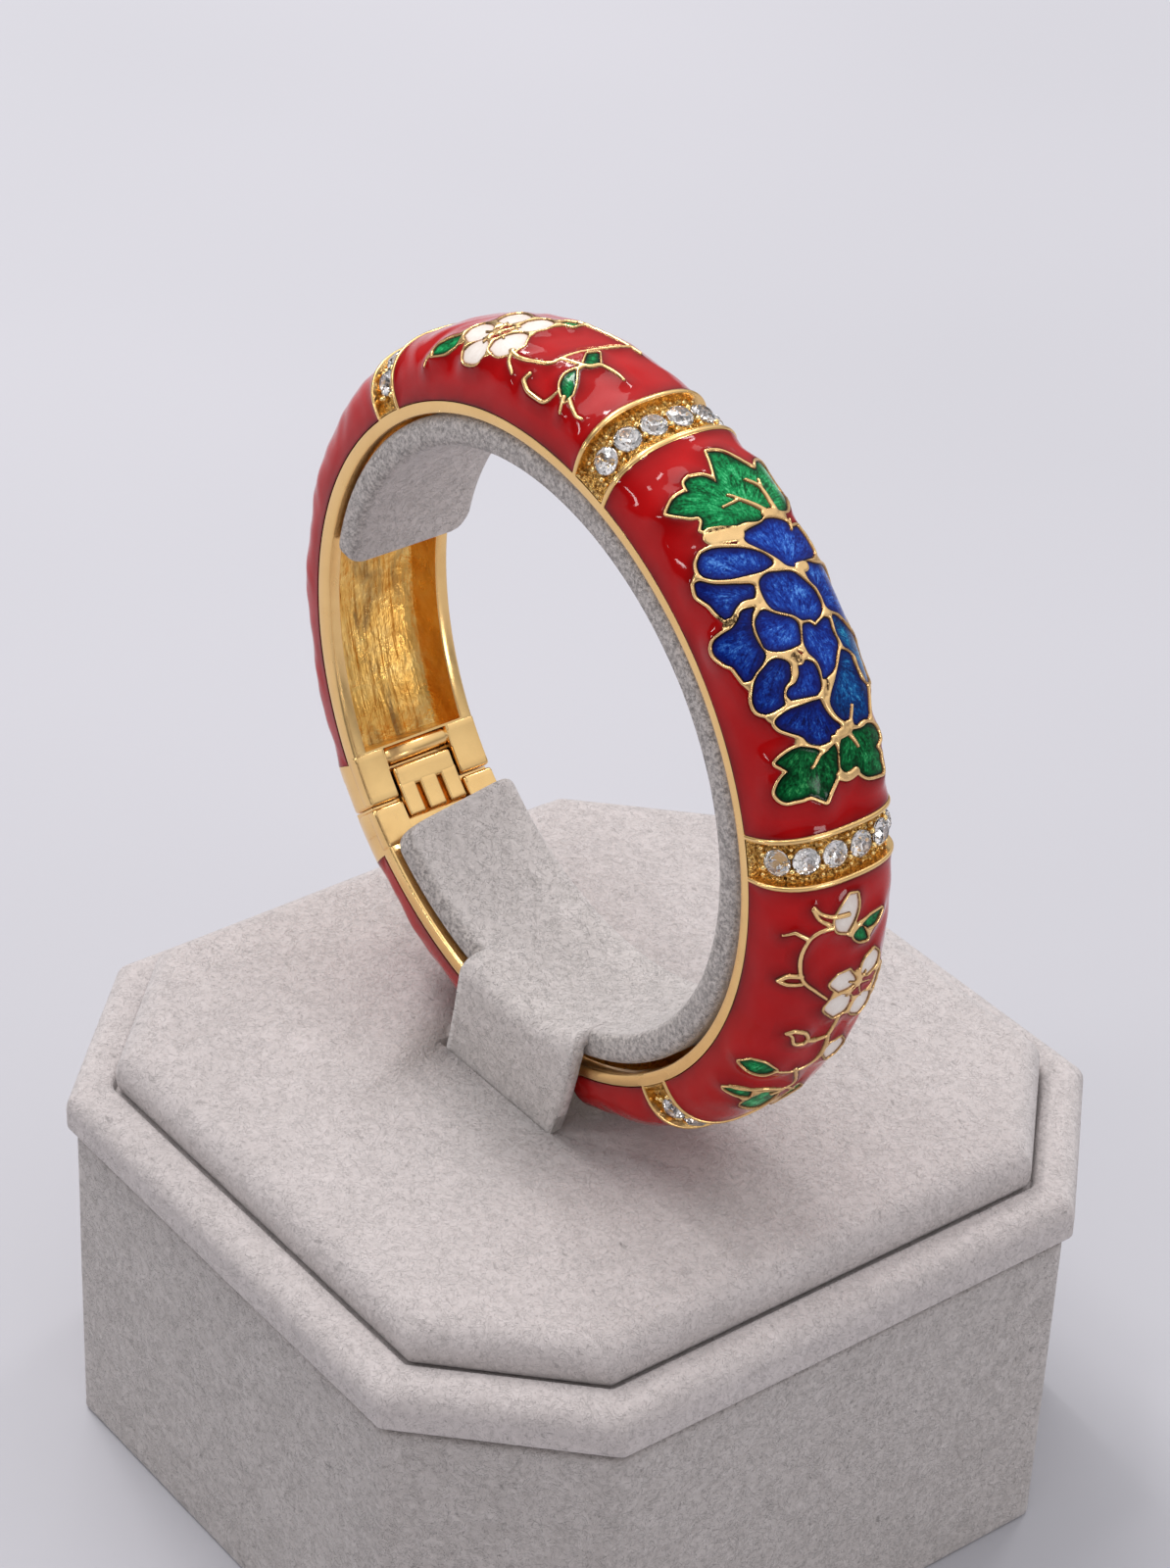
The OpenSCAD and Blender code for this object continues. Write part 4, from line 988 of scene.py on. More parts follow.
def front_frame():
    """The front part: rails, channel, bars, and the ears of the hinge with the roll between them."""
    floor = dict(depth=np.interp(np.abs(CROWN_V), [6.6, 7.6], [1.9, 0.9]), lip=False)
    at = FRONT_END + FRONT_CAP
    runs = [(FRONT_END, at, dict(depth=0.3, hollow=False, lip=False))]
    for mid in BAR_MID[::-1]:
        edges = mid - BAR_HALF, mid - BAR_HALF + BORDER, mid + BAR_HALF - BORDER, mid + BAR_HALF
        runs += [(at, edges[0], {}), (*edges[:2], FLAT), (*edges[1:3], floor), (*edges[2:], FLAT)]
        at = edges[3]
    runs += [(at, HINGE_WALL, {}), (HINGE_WALL, POCKET_FROM, dict(hollow=False)),
             (POCKET_FROM, HINGE_BAR, dict(hollow=False, pocket=POCKET)),
             (HINGE_BAR, EAR_FROM, dict(SUNK, hollow=False, pocket=POCKET))]
    turn = np.radians(np.arange(0, 360, 24))
    roll = [ring(ROLL_AT + ROLL_R * k / ROLL_MM * np.degrees(np.cos(turn)), y,
                 ROLL_OUT + ROLL_R * k * np.sin(turn)) for y, k in ROLL_ROWS]
    blocks = [flank(side, HINGE_BAR + 0.2, EAR_TO) for side in (1, -1)]
    blocks += [cheek(side, HINGE_WALL + 0.1, EAR_TO) for side in (1, -1)] + [roll]
    casting("bangle_frame_gold", "bangle_frame", FRONT, runs, blocks)


# the hinge tongue and its three fingers: across from and to, outward from and to, angles, radius
TONGUE = [(-2.95, 2.95, -0.05, 3.0, 216.27, 220.4, 0.32), (-2.95, 2.95, 1.1, 5.2, 216.9, 223.5, 0.3),
          (-2.95, -1.3, -0.05, 1.6, 219.2, 225.5, 0.22), (-0.88, 0.88, -0.05, 1.6, 219.2, 225.5, 0.22),
          (1.3, 2.95, -0.05, 1.6, 219.2, 225.5, 0.22)]


def rear_arm():
    """The part behind the hinge: a tongue with three fingers between two flanks, and the hollow arm."""
    end = dict(lip=False, hollow=False)
    runs = [(ARM_FROM + 0.5, 225.8, dict(SUNK, hollow=False, pocket=POCKET)),
            (225.8, 228, dict(SUNK, hollow=False)), (228, HINGE_OUT, SUNK), (HINGE_OUT, ARM_PANEL, {}),
            (ARM_PANEL, 255.5, dict(FLAT, drop=0.5)), (255.8, 257.5, dict(FLAT, drop=1.2)),
            (257.5, 258.2, dict(end, depth=0.1, drop=1.6)), (258.6, ARM_END, dict(end, depth=0.3, drop=2.2))]
    blocks = [flank(side, ARM_FROM, 226.6) for side in (1, -1)]
    blocks += [cheek(side, ARM_FROM, 229.3) for side in (1, -1)]
    # webs that close the slit between both parts to light
    blocks += [plain_block(side * 3.1, side * 5.95, 0.4, 3.2, 221.6, 223, 0.03) for side in (1, -1)]
    casting("rear_arm_gold", "rear_arm", ARM, runs, blocks + [plain_block(*row) for row in TONGUE])


def stone_at(j):
    """Length across of the middle of a stone, or of the gap before it at a half."""
    return (j - (STONES - 1) / 2) * STONE_PITCH


FLOOR_STEP, FLOOR_LEVEL, FLOOR_ROUGH = 0.085, -0.78, 0.20
PIT_FROM_EDGE, PIT_PITCH, PIT_DEPTH = 0.34, 0.55, 0.22
BEZEL_TOP, SEAT = -0.50, -0.72


def bar_floor(i):
    """Granulated floor of a bar, with a pit and a bezel for each stone."""
    mid = BAR_MID[i]
    x0, x1 = to_x(mid - BAR_HALF + BORDER) - 0.03, to_x(mid + BAR_HALF - BORDER) + 0.03
    x = np.linspace(x0, x1, int((x1 - x0) / FLOOR_STEP) + 1)
    v = np.linspace(-HALF + 0.03, HALF - 0.03, int((2 * HALF) / FLOOR_STEP) + 1)
    X, W = np.meshgrid(x, v, indexing="ij")
    rough = np.random.default_rng(40 + i)
    h = np.full(X.shape, FLOOR_LEVEL) + blur(rough.normal(0, 1, X.shape), 1) * FLOOR_ROUGH
    # rows of small pits along both borders
    side = np.minimum(X - x0, x1 - X)
    pits = np.hypot(side - PIT_FROM_EDGE, (W + 0.15) % PIT_PITCH - PIT_PITCH / 2)
    h -= PIT_DEPTH * (1 - smoothstep((pits - 0.06) / 0.14))
    for j in range(STONES):
        d = np.hypot(X - to_x(mid), W - stone_at(j)) - STONE_R
        h = np.maximum(h, BEZEL_TOP - 2.2 * np.abs(d - 0.02) - 0.3 * np.clip(d, 0, 1))
        h = np.where(d < -0.03, np.minimum(h, SEAT - 1.1 * smoothstep((-0.03 - d) / 0.16)), h)
    edge = HALF - np.abs(W)
    h = np.maximum(h, -0.02 - 3.0 * np.clip(edge - 0.16, 0, 9) - 0.02 * (edge < 0.1))
    o = relief("bar_floor_" + LETTERS[i], to_a(x), v, h, np.ones(X.shape, bool), GOLD_GRAIN)
    finish_piece(o, FRONT, "gilt")


def bar_edges(i):
    """Thin bright rolled borders at both sides of a bar."""
    v = np.linspace(-HALF + 0.05, HALF - 0.05, 90)
    turn = np.radians(np.arange(0, 360, 36))
    parts = []
    for s in (-1, 1):
        x = to_x(BAR_MID[i] + s * (BAR_HALF - BORDER / 2)) + 0.2 * np.cos(turn)
        parts.append(loft([band(to_a(x), np.full(10, w), -0.02 + 0.13 * np.sin(turn)) for w in v]))
    o = mesh_object("bar_edge_" + LETTERS[i], *joined(parts), [GOLD], smooth=60)
    outward_faces(o)
    finish_piece(o, FRONT, "gilt")


# grains that hold the stones: way from the middle of the bar, its play, play across, radius
GRAINS_BETWEEN = [(0.62, 0.05, 0.06, 0.27), (1.22, 0.06, 0.15, 0.19)]
GRAIN_BESIDE = (1.38, 0.1, 0.13)


def bead_points(i):
    """Places of the grains: two on each side in each gap, and one beside each stone."""
    x, rough, out = to_x(BAR_MID[i]), np.random.default_rng(9 + i), []
    for j in range(STONES + 1):
        for s in (-1, 1):
            for way, play, across, r in GRAINS_BETWEEN:
                out.append((x + s * (way + rough.uniform(-play, play)),
                            stone_at(j - 0.5) + rough.uniform(-across, across), r))
    for j in range(STONES):
        for s in (-1, 1):
            way, across, r = GRAIN_BESIDE
            out.append((x + s * way, stone_at(j) + rough.uniform(-across, across), r))
    return out


def ball(rings=6, seg=10):
    """Points and faces of a ball of radius 1."""
    p = [(0, 0, 1)]
    for a in np.linspace(0, math.pi, rings + 1)[1:-1]:
        p += [(math.sin(a) * math.cos(b), math.sin(a) * math.sin(b), math.cos(a))
              for b in np.linspace(0, 2 * math.pi, seg, endpoint=False)]
    p.append((0, 0, -1))
    last = len(p) - 1
    f = [[0, 1 + k, 1 + (k + 1) % seg] for k in range(seg)]
    for r in range(rings - 2):
        for k in range(seg):
            a, b = 1 + r * seg + k, 1 + r * seg + (k + 1) % seg
            f.append([a, a + seg, b + seg, b])
    f += [[last, last - seg + (k + 1) % seg, last - seg + k] for k in range(seg)]
    return np.array(p), f


def axes_at(a, v):
    """Centre and the three directions of the dome at a point: across, along, outward."""
    o = band(a, v, 0.0)
    n = band(a, v, 1.0) - o
    t = np.radians(a)
    along = np.array([-np.sin(t), 0, np.cos(t)])
    return o, np.cross(along, n), along, n


def bar_beads(i):
    ball_points, ball_faces = ball()
    parts = []
    for x, w, r in bead_points(i):
        o, b, t, up = axes_at(float(to_a(x)), w)
        sides = ball_points[:, :1] * b + ball_points[:, 1:2] * t
        parts.append((o + up * -0.52 + r * (sides + 1.25 * ball_points[:, 2:] * up), ball_faces))
    o = mesh_object("bar_beads_" + LETTERS[i], *joined(parts), [GOLD_BEAD], smooth=180)
    outward_faces(o)
    finish_piece(o, FRONT, "gilt")


def brilliant(r):
    """A round brilliant: table, stars, kites, halves, girdle and pavilion, as points and faces."""
    def circle(radius, z, n, off=0.0):
        turn = [2 * math.pi * (k + off) / n for k in range(n)]
        return [(radius * math.cos(t), radius * math.sin(t), z) for t in turn]
    p = circle(0.56 * r, 0.42 * r, 8) + circle(0.76 * r, 0.27 * r, 8, 0.5) + circle(r, 0.04 * r, 16)
    p += circle(r, -0.02 * r, 16) + circle(0.45 * r, -0.46 * r, 8) + [(0, 0, -0.8 * r)]
    crown, top, girdle, low, foot = 8, 16, 32, 48, 56
    f = [list(range(crown))]
    for k in range(8):
        nxt, even, odd = (k + 1) % 8, 2 * k, 2 * k + 1
        f += [[k, crown + k, nxt], [k, crown + (k - 1) % 8, top + even, crown + k],
              [crown + k, top + even, top + odd], [crown + k, top + odd, top + (even + 2) % 16]]
    for k in range(16):
        nxt = (k + 1) % 16
        f.append([top + k, girdle + k, girdle + nxt, top + nxt])
    for k in range(8):
        nxt, even, odd = (k + 1) % 8, 2 * k, 2 * k + 1
        f += [[girdle + even, low + k, girdle + odd], [girdle + odd, low + k, low + nxt],
              [girdle + odd, low + nxt, girdle + (even + 2) % 16], [low + k, foot, low + nxt]]
    return np.array(p), f


# a cup's radius and height for each row, at a stone of radius 1
CUP = [(0.97, -0.06), (0.45, -0.54), (0.04, -0.92), (0.05, -0.99), (0.49, -0.60), (1.02, -0.10)]


def foil_cup(r, n=16):
    """A thin reflecting cup under a stone."""
    t, m = [2 * math.pi * k / n for k in range(n)], len(CUP)
    p = [(q * r * math.cos(a), q * r * math.sin(a), z * r) for q, z in CUP for a in t]
    f = [[i * n + k, i * n + (k + 1) % n, ((i + 1) % m) * n + (k + 1) % n, ((i + 1) % m) * n + k]
         for i in range(m) for k in range(n)]
    return np.array(p), f


STONE_DEPTH, STONE_TILT = 0.5, 0.05


def stones(i):
    """The six stones of a bar in their cups, each turned and tilted a little."""
    turn, parts, index = np.random.default_rng(70 + i), [], []
    for j in range(STONES):
        o, b, t, up = axes_at(BAR_MID[i], stone_at(j))
        s = turn.uniform(0, 0.8)
        tilt = up + STONE_TILT * (turn.uniform(-1, 1) * b + turn.uniform(-1, 1) * t)
        tilt /= np.linalg.norm(tilt)
        across = np.cross(t, tilt)
        across /= np.linalg.norm(across)
        along = np.cross(tilt, across)
        c, w = math.cos(s), math.sin(s)
        for (p, f), kind in ((brilliant(STONE_R), 0), (foil_cup(STONE_R), 1)):
            x, y = p[:, :1] * c - p[:, 1:2] * w, p[:, :1] * w + p[:, 1:2] * c
            parts.append((o - up * STONE_DEPTH + x * across + y * along + p[:, 2:] * tilt, f))
            index += [kind] * len(f)
    letter = LETTERS[i]
    o = mesh_object("stones_" + letter, *joined(parts), [CRYSTAL, FOIL], index=index, smooth=1)
    outward_faces(o)
    finish_piece(o, FRONT, "crystal", *[f"stone_{letter}{k}" for k in range(1, STONES + 1)])


# the stand: half sizes and cut corner of the pad's outline, the growth of block and rim, and heights
PAD_X, PAD_Y, PAD_CORNER = 32.6, 33.2, 11.3
BLOCK_OUT, RIM_OUT, PAD_OUT = 3.3, 4.1, 0.12
RIM_FROM, RIM_TO, PAD_TO, WOBBLE = 31.42, 35.47, 38.98, 0.02
SLOT = [(-7.3, 8.1), (-9.95, -8.45), (36.5, 41)]


def octagon(d, r, per_corner=6, per_side=10):
    """The cut-corner outline of the stand grown by d, with soft corners, as (x, y) rows."""
    x, y, c = PAD_X + d, PAD_Y + d, PAD_CORNER + 0.586 * d
    p = np.array([[-x, -y + c], [-x + c, -y], [x - c, -y], [x, -y + c],
                  [x, y - c], [x - c, y], [-x + c, y], [-x, y - c]])
    cut = r * math.tan(math.radians(22.5))
    out = []
    for k in range(8):
        a, b, nxt = p[k - 1], p[k], p[(k + 1) % 8]
        u, w = (a - b) / np.linalg.norm(a - b), (nxt - b) / np.linalg.norm(nxt - b)
        s, e, follow = b + u * cut, b + w * cut, nxt - w * cut
        out += [(1 - t) ** 2 * s + 2 * t * (1 - t) * b + t**2 * e for t in np.linspace(0, 1, per_corner)]
        out += [e + (follow - e) * t for t in np.linspace(0, 1, per_side + 1)[1:-1]]
    return np.array(out)


def turned_block(name, rows, material, seed):
    """A closed octagonal block from rows of (growth, height, corner radius), softly uneven."""
    loops = []
    for d, z, r in rows:
        p = octagon(d, r)
        loops.append(np.column_stack([p, np.full(len(p), z)]))
    rough = np.random.default_rng(seed).normal(0, 1, (len(loops), len(loops[0])))
    wave = blur(rough, 2) * WOBBLE * 6
    for k, loop in enumerate(loops[1:-1], 1):
        out = loop[:, :2] / np.linalg.norm(loop[:, :2], axis=1)[:, None]
        loop[:, :2] += out * wave[k][:, None]
    o = mesh_object(name, *loft(loops), [material], smooth=60)
    outward_faces(o)
    return o


def round_edge(z, d, r, corner, n=6, top=True):
    """Rows of a rounded edge, from the side to the face of a block at the height z."""
    rise = 1 if top else -1
    rows = [(d - r + r * math.cos(a), z - rise * r + rise * r * math.sin(a), corner)
            for a in np.radians(np.linspace(0, 90, n))]
    return rows if top else rows[::-1]


def stand():
    """Block, rim board and pad, each as rows of growth, height and corner radius."""
    block = [(BLOCK_OUT - 0.5, 0.0, 0.8)] + round_edge(0, BLOCK_OUT, 0.5, 0.9, top=False)
    block += [(BLOCK_OUT, z, 0.9) for z in np.linspace(1.2, 30.0, 14)]
    block += [(3.28, 30.3, 0.9), (3.12, 30.5, 0.9), (2.8, 30.6, 0.8), (2.2, 30.64, 0.8), (2.0, 30.9, 0.8),
              (1.6, 31.05, 0.8), (0.5, 31.05, 0.5)]
    o = turned_block("stand_base_suede", block, SUEDE_WALL, 3)
    finish_piece(o, FRONT, "suede", "stand_base")
    rim = [(1.5, 31.5, 0.7)] + round_edge(RIM_FROM, RIM_OUT, 0.5, 0.8, top=False)
    rim += [(RIM_OUT, z, 0.8) for z in (32.3, 32.8, 33.3)] + round_edge(RIM_TO, RIM_OUT, 1.9, 0.8, 10)
    rim += [(1.6, RIM_TO, 0.8), (0.9, RIM_TO, 0.8), (0.55, 35.40, 0.8), (0.36, 35.15, 0.8),
            (0.2, 34.7, 0.8), (-1.2, 34.6, 0.8)]
    o = turned_block("stand_rim_suede", rim, SUEDE, 4)
    finish_piece(o, FRONT, "suede", "stand_rim")
    pad = [(-2.5, 34.9, 0.8), (-0.6, 34.9, 0.8), (-0.06, 35.2, 0.9), (0.08, 35.6, 1.0), (PAD_OUT, 36.1, 1.0)]
    pad += round_edge(PAD_TO, PAD_OUT, 2.4, 1.0, 11) + [(d, 39.0, 1.0) for d in (-3.2, -4.4, -6, -8.5)]
    o = turned_block("stand_pad_suede", pad, SUEDE, 5)
    slot = mesh_object("slot_cut", np.array([(x, y, z) for x in SLOT[0] for y in SLOT[1] for z in SLOT[2]]),
                       [[0, 1, 3, 2], [4, 6, 7, 5], [0, 4, 5, 1], [2, 3, 7, 6], [0, 2, 6, 4], [1, 5, 7, 3]],
                       [SUEDE_EDGE])
    outward_faces(slot)
    cut = o.modifiers.new("slot", "BOOLEAN")
    cut.operation, cut.object, cut.solver = "DIFFERENCE", slot, "EXACT"
    apply_all(o)
    bpy.data.objects.remove(slot)
    finish_piece(o, FRONT, "suede", "stand_pad")


def apply_all(o):
    """Turns an object's modifiers into its mesh."""
    dg = bpy.context.evaluated_depsgraph_get()
    me = bpy.data.meshes.new_from_object(o.evaluated_get(dg), preserve_all_data_layers=True, depsgraph=dg)
    o.modifiers.clear()
    o.data = me


# the collar: angles of its ends, how far out it lies, thickness, half width, lift, slant of the low end,
# corner radii (near side, far side) of the low and the high end, and the radius of its long edges
STRAP_LO, STRAP_HI, STRAP_OUT, STRAP_THICK = -134.4, 171.0, -0.45, 2.6
STRAP_HALF, STRAP_UP, STRAP_SKEW = 6.1, 0.25, 2.8
CORNERS_LO, CORNERS_HI, STRAP_SOFT = (1.6, 1.0), (0.9, 2.0), 0.85
A_DEGREE = math.pi / 180 * 25.0
END_ROWS = np.array([0.0, 0.06, 0.18, 0.36, 0.6, 0.9, 1.3, 1.8, 2.3, 2.6])


def strap_row(a):
    """One closed section of the strap at the angle a, and how much of it is cut edge."""
    end = min(a - STRAP_LO, STRAP_HI - a) * A_DEGREE
    low = a - STRAP_LO < STRAP_HI - a
    cuts = [r - math.sqrt(max(0, r**2 - max(0, r - end) ** 2)) for r in (CORNERS_LO if low else CORNERS_HI)]
    thin = 0.35 * (1 - math.sqrt(max(0, 1 - max(0, 1 - end / 0.4) ** 2)))
    near, far = (STRAP_HALF - cut - thin for cut in cuts)
    t0, t1 = STRAP_OUT - STRAP_THICK + thin, STRAP_OUT - thin
    k = min(STRAP_SOFT, (t1 - t0) / 2 - 0.01)
    corners = [(far - k, t1 - k, 0), (-near + k, t1 - k, 90),
               (-near + k, t0 + k, 180), (far - k, t0 + k, 270)]
    points = []
    for y, e, start in corners:
        for w in np.radians(np.linspace(0, 90, 5)) + math.radians(start):
            points.append((y + k * math.cos(w), e + k * math.sin(w)))
        if start in (0, 180):
            ends, face = ((far - k, -near + k), t1) if start == 0 else ((-near + k, far - k), t0)
            points += [(ends[0] + q * (ends[1] - ends[0]), face) for q in (0.2, 0.4, 0.6, 0.8)]
    y, e = np.array(points).T
    slant = STRAP_SKEW * (1 - y / STRAP_HALF) / 2 * max(0, 1 - end / 9) * low
    return ring(a + slant, y, e) + [0, 0, STRAP_UP], smoothstep((-y - near + 0.75) / 0.5)


# the neck tab: angles on the strap, bend radius, its face across, thickness, and foot in the slot
TAB_FROM, TAB_SPAN, TAB_BEND, TAB_Y, TAB_THICK, TAB_ROWS = -104, 35, 1.62, -7.84, 1.1, 28
FOOT_X, FOOT_WIDE, FOOT_Z = -7.3, 14.4, -35.3
TAB_LAP = [(-2.4, 0.20), (-3.4, 0.04), (-4.4, 0), (-5.2, 0), (TAB_Y + TAB_BEND, 0)]


def tab_row(u):
    """One line of the tab: from the strap's face round a bend over the near rail and down into the slot."""
    a, inner, turn_y = TAB_FROM + TAB_SPAN * u, STRAP_OUT - STRAP_THICK - 0.02, TAB_Y + TAB_BEND
    line = [ring(a, y, inner + deep) for y, deep in TAB_LAP]
    for w in np.radians(np.linspace(11, 90, 8)):
        line.append(ring(a, turn_y - TAB_BEND * math.sin(w), inner + TAB_BEND - TAB_BEND * math.cos(w)))
    top = line[-1]
    foot = RING + np.array([FOOT_X + FOOT_WIDE * u, TAB_Y, FOOT_Z - STRAP_UP])
    side = 2 * u - 1
    for w in np.linspace(0, 1, 12)[1:]:
        q = top + (foot - top) * w
        q[1] = RING[1] + TAB_Y - 0.05 * math.sin(math.pi * w)
        q[0] += side * 0.9 * math.sin(math.pi * min(1, w * 1.05)) * (0.3 if u > 0.5 else -0.2) * abs(side)
        line.append(q)
    return np.array(line) + [0, 0, STRAP_UP]


def collar():
    """The strap and its tab, joined into one piece."""
    near_end = END_ROWS / A_DEGREE
    middle = np.arange(STRAP_LO + near_end[-1] + 1.5, STRAP_HI - near_end[-1], 1.5)
    angles = np.concatenate([STRAP_LO + near_end, middle, STRAP_HI - near_end[::-1]])
    rows, cut_face = zip(*[strap_row(a) for a in angles])
    strap = mesh_object("collar_suede", *loft(rows), [SUEDE_STRAP, SUEDE_EDGE], smooth=60,
                        attrs={"cut": np.concatenate(cut_face)})
    outward_faces(strap)
    lines = [tab_row(u) for u in np.linspace(0, 1, TAB_ROWS)]
    tab = mesh_object("collar_tab", np.concatenate(lines), grid_faces(TAB_ROWS, len(lines[0])),
                      [SUEDE_STRAP, SUEDE_EDGE], smooth=180)
    thick = tab.modifiers.new("thickness", "SOLIDIFY")
    thick.thickness, thick.offset, thick.use_even_offset = TAB_THICK * MM, -1.0, True
    thick.use_rim, thick.material_offset_rim = True, 1
    apply_all(tab)
    # above the strap the rim of the tab is suede, not a cut edge
    over_strap = (RING[2] - 31.5) * MM
    for face in tab.data.polygons:
        if face.material_index == 1 and face.center.z > over_strap:
            face.material_index = 0
    bpy.context.view_layer.update()
    with bpy.context.temp_override(active_object=strap, selected_editable_objects=[strap, tab]):
        bpy.ops.object.join()
    finish_piece(strap, FRONT, "suede", "collar")


# half widths of stems, stamens and the centre of a blossom
STEM, STAMEN, CENTRE = (0.21, 0.14), (0.13, 0.09), (0.36, 0.36)
PEONY_CENTRE = [[44.5, 0.2]]


def plum_panel(name, lo, hi, branch, petals=(), leaves=(), buds=()):
    """A panel with a plum branch: its red ground, gold, petals, leaves and buds."""
    centre = branch["centre"]
    c, flower_buds = np.ravel(centre), branch.get("buds", [])
    lines = [(*STEM, p) for p in branch["stems"]]
    for p in branch["petals"]:
        tip = c + 0.6 * (np.reshape(p, (-1, 2)).mean(0) - c)
        lines.append((*STAMEN, [*c, *tip]))
    lines.append((*CENTRE, [c[0] - 0.2, c[1], c[0] + 0.2, c[1]]))
    motif = Motif(branch["petals"] + flower_buds + branch["leaves"], lines, (0.22, 0.13), (1.1, 0.8),
                  grow=0.14, line=0.20, fill=0.95)
    panel = Panel(name, lo, hi, motif)
    panel.red()
    panel.gold_lines()
    panel.inlay("petals_" + name, branch["petals"], centre, WHITE, "enamel_white", petals)
    panel.inlay("green_" + name, branch["leaves"], centre, GREEN, "enamel_green", leaves)
    if flower_buds:
        panel.inlay("buds_" + name, flower_buds, centre, WHITE, "enamel_white", buds)


def ornament():
    """The six enamel panels, from their edges at the bars, the low end and the hinge."""
    after, before = [mid + BAR_HALF for mid in BAR_MID], [mid - BAR_HALF for mid in BAR_MID]
    tones, petals = zip(*PEONY_PETALS)
    petals = list(petals)
    peony = Motif(petals + PEONY_LEAVES, PEONY_VEINS + PEONY_PADS, (0.36, 0.36), (1.6, 1.4),
                  grow=0.05, line=0.27, fill=1.0, low_shade=PEONY_LOW_SHADE)
    panel = Panel("peony", after[2], before[1], peony)
    panel.red()
    panel.gold_lines()
    panel.inlay("petals_peony", petals, PEONY_CENTRE, BLUE, "enamel_blue", ["peony_petals"], tones)
    panel.inlay("leaves_peony", PEONY_LEAVES, PEONY_CENTRE, GREEN, "enamel_green", ["peony_leaves"],
                [0, 0.8, 0.6])
    plum_panel("top", after[1], before[0], PLUM_TOP, ["blossom_top"], ["leaves_top"])
    plum_panel("right", after[3], before[2], PLUM_RIGHT, ["blossom_right"], ["leaves_right"], ["buds"])
    plum_panel("left", after[0], HINGE_BAR, PLUM_LEFT)
    plain = Motif([], [], (0, 0), (1, 1), grow=0, line=0.2, fill=0.6)
    Panel("low", FRONT_END + FRONT_CAP, before[3], plain).red()
    Panel("arm", HINGE_OUT, ARM_PANEL, plain).red(ARM)


# the sky: the way its bright side faces, its level, and brightness from its back, 0, to its front, 1
SKY_WAY, SKY_PEAK, SKY_COLOUR = (0.06, 0.18, 0.97), 1.08, (0.965, 0.975, 1.0, 1)
SKY_LEVELS = [(0.0, 0.03), (0.3, 0.07), (0.5, 0.18), (0.62, 0.34), (0.75, 0.64), (0.88, 0.88), (1.0, 1.0)]
# softboxes: name, place, size, watts, and the way that the long side runs
LIGHTS = [("soft", (-0.62, 0.10, 1.05), (0.85, 0.50), 3.3, (-0.28, 0.62, -0.31)),
          ("core", (-0.74, 0.02, 0.95), (0.40, 0.09), 3.8, (-0.28, 0.62, -0.31)),
          ("front", (-0.30, -0.83, 0.88), (0.16, 0.16), 1.0, (1, 0, 0)),
          ("side", (-0.36, -0.93, 0.24), (0.30, 0.05), 0.9, (1, 0, 0)),
          ("top", (-0.10, -0.27, 0.98), (0.16, 0.07), 0.7, (0, 1, 0)),
          ("back", (-0.19, 0.50, 0.85), (0.14, 0.10), 0.8, (1, 0, 0)),
          ("right", (1.10, 0.12, 0.15), (0.30, 0.20), 1.7, (0, 1, 0))]
LIT = Vector((0, 0, 0.07))
FLOOR_HALF, FLOOR_COLOURS = 2500, ((0.48, 0.470, 0.500), (0.50, 0.488, 0.520))


def camera():
    cam = bpy.data.objects.new("camera", bpy.data.cameras.new("camera"))
    bpy.context.scene.collection.objects.link(cam)
    cam.data.lens, cam.data.sensor_width, cam.data.sensor_fit = LENS, 36, "AUTO"
    cam.data.clip_start, cam.data.clip_end = 0.01, 20
    look = (-TO_CAMERA).to_track_quat("-Z", "Y").to_matrix().to_4x4()
    place = Matrix.Translation(TARGET + TO_CAMERA * DISTANCE)
    cam.matrix_world = place @ look @ Matrix.Rotation(ROLL, 4, "Z")
    bpy.context.scene.camera = cam


def floor():
    corners = [(x * FLOOR_HALF, y * FLOOR_HALF, 0) for x, y in ((-1, -1), (1, -1), (1, 1), (-1, 1))]
    k = Look("floor", Roughness=0.9)
    k.set(**{"Specular IOR Level": 0.1})
    k.colour(k.ramp(k.noise(9, 2, 0.4), (0.3, FLOOR_COLOURS[0]), (0.7, FLOOR_COLOURS[1])))
    mesh_object("floor", np.array(corners), [[0, 1, 2, 3]], [k.mat])


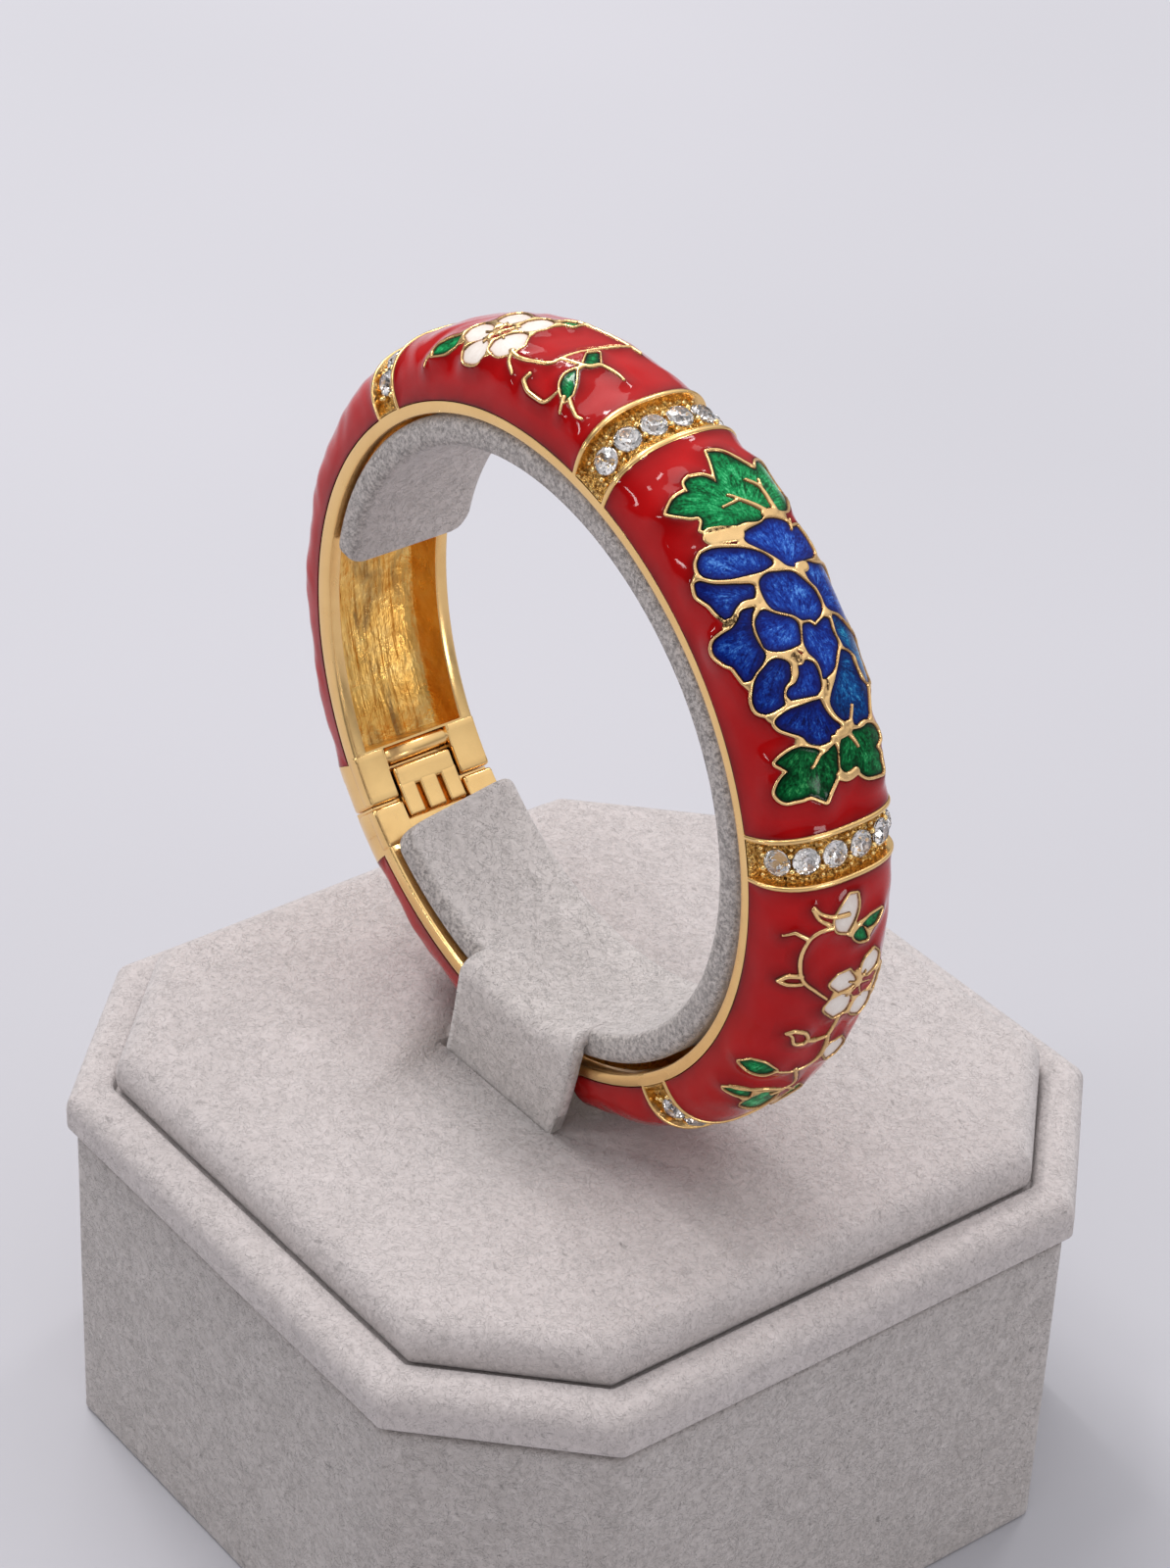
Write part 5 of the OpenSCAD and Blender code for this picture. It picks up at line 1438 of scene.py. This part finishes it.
def sky():
    """A world that is bright on one side and dark behind."""
    world = bpy.data.worlds.new("studio")
    bpy.context.scene.world = world
    world.use_nodes = True
    tree = world.node_tree
    way = tree.nodes.new("ShaderNodeTexCoord")
    dot = tree.nodes.new("ShaderNodeVectorMath")
    dot.operation = "DOT_PRODUCT"
    dot.inputs[1].default_value = Vector(SKY_WAY).normalized()
    half = tree.nodes.new("ShaderNodeMapRange")
    half.inputs[1].default_value, half.inputs[2].default_value = -1, 1
    levels = tree.nodes.new("ShaderNodeFloatCurve")
    curve = levels.mapping.curves[0]
    curve.points[0].location, curve.points[1].location = SKY_LEVELS[0], SKY_LEVELS[-1]
    for place in SKY_LEVELS[1:-1]:
        curve.points.new(*place)
    levels.mapping.update()
    peak = tree.nodes.new("ShaderNodeMath")
    peak.operation = "MULTIPLY"
    peak.inputs[1].default_value = SKY_PEAK
    background = tree.nodes["Background"]
    background.inputs[0].default_value = SKY_COLOUR
    for out, socket in ((way.outputs["Generated"], dot.inputs[0]), (dot.outputs["Value"], half.inputs[0]),
                        (half.outputs[0], levels.inputs["Value"]), (levels.outputs[0], peak.inputs[0]),
                        (peak.outputs[0], background.inputs[1])):
        tree.links.new(out, socket)


def softboxes():
    for name, at, size, power, long_way in LIGHTS:
        light = bpy.data.lights.new(name, "AREA")
        light.energy, light.shape, light.size, light.size_y = power, "RECTANGLE", *size
        o = bpy.data.objects.new(name, light)
        bpy.context.scene.collection.objects.link(o)
        back = (Vector(at) - LIT).normalized()
        across = (Vector(long_way) - back * Vector(long_way).dot(back)).normalized()
        turn = Matrix((across, back.cross(across), back)).transposed()
        o.matrix_world = Matrix.Translation(at) @ turn.to_4x4()


front_frame()
rear_arm()
for bar in range(len(BAR_MID)):
    bar_floor(bar)
    bar_edges(bar)
    bar_beads(bar)
    stones(bar)
ornament()
collar()
stand()
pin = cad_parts["hinge_pin"]
pin.data.materials.clear()
pin.data.materials.append(GOLD)
camera()
floor()
sky()
softboxes()
bpy.context.scene.view_settings.view_transform = "Standard"
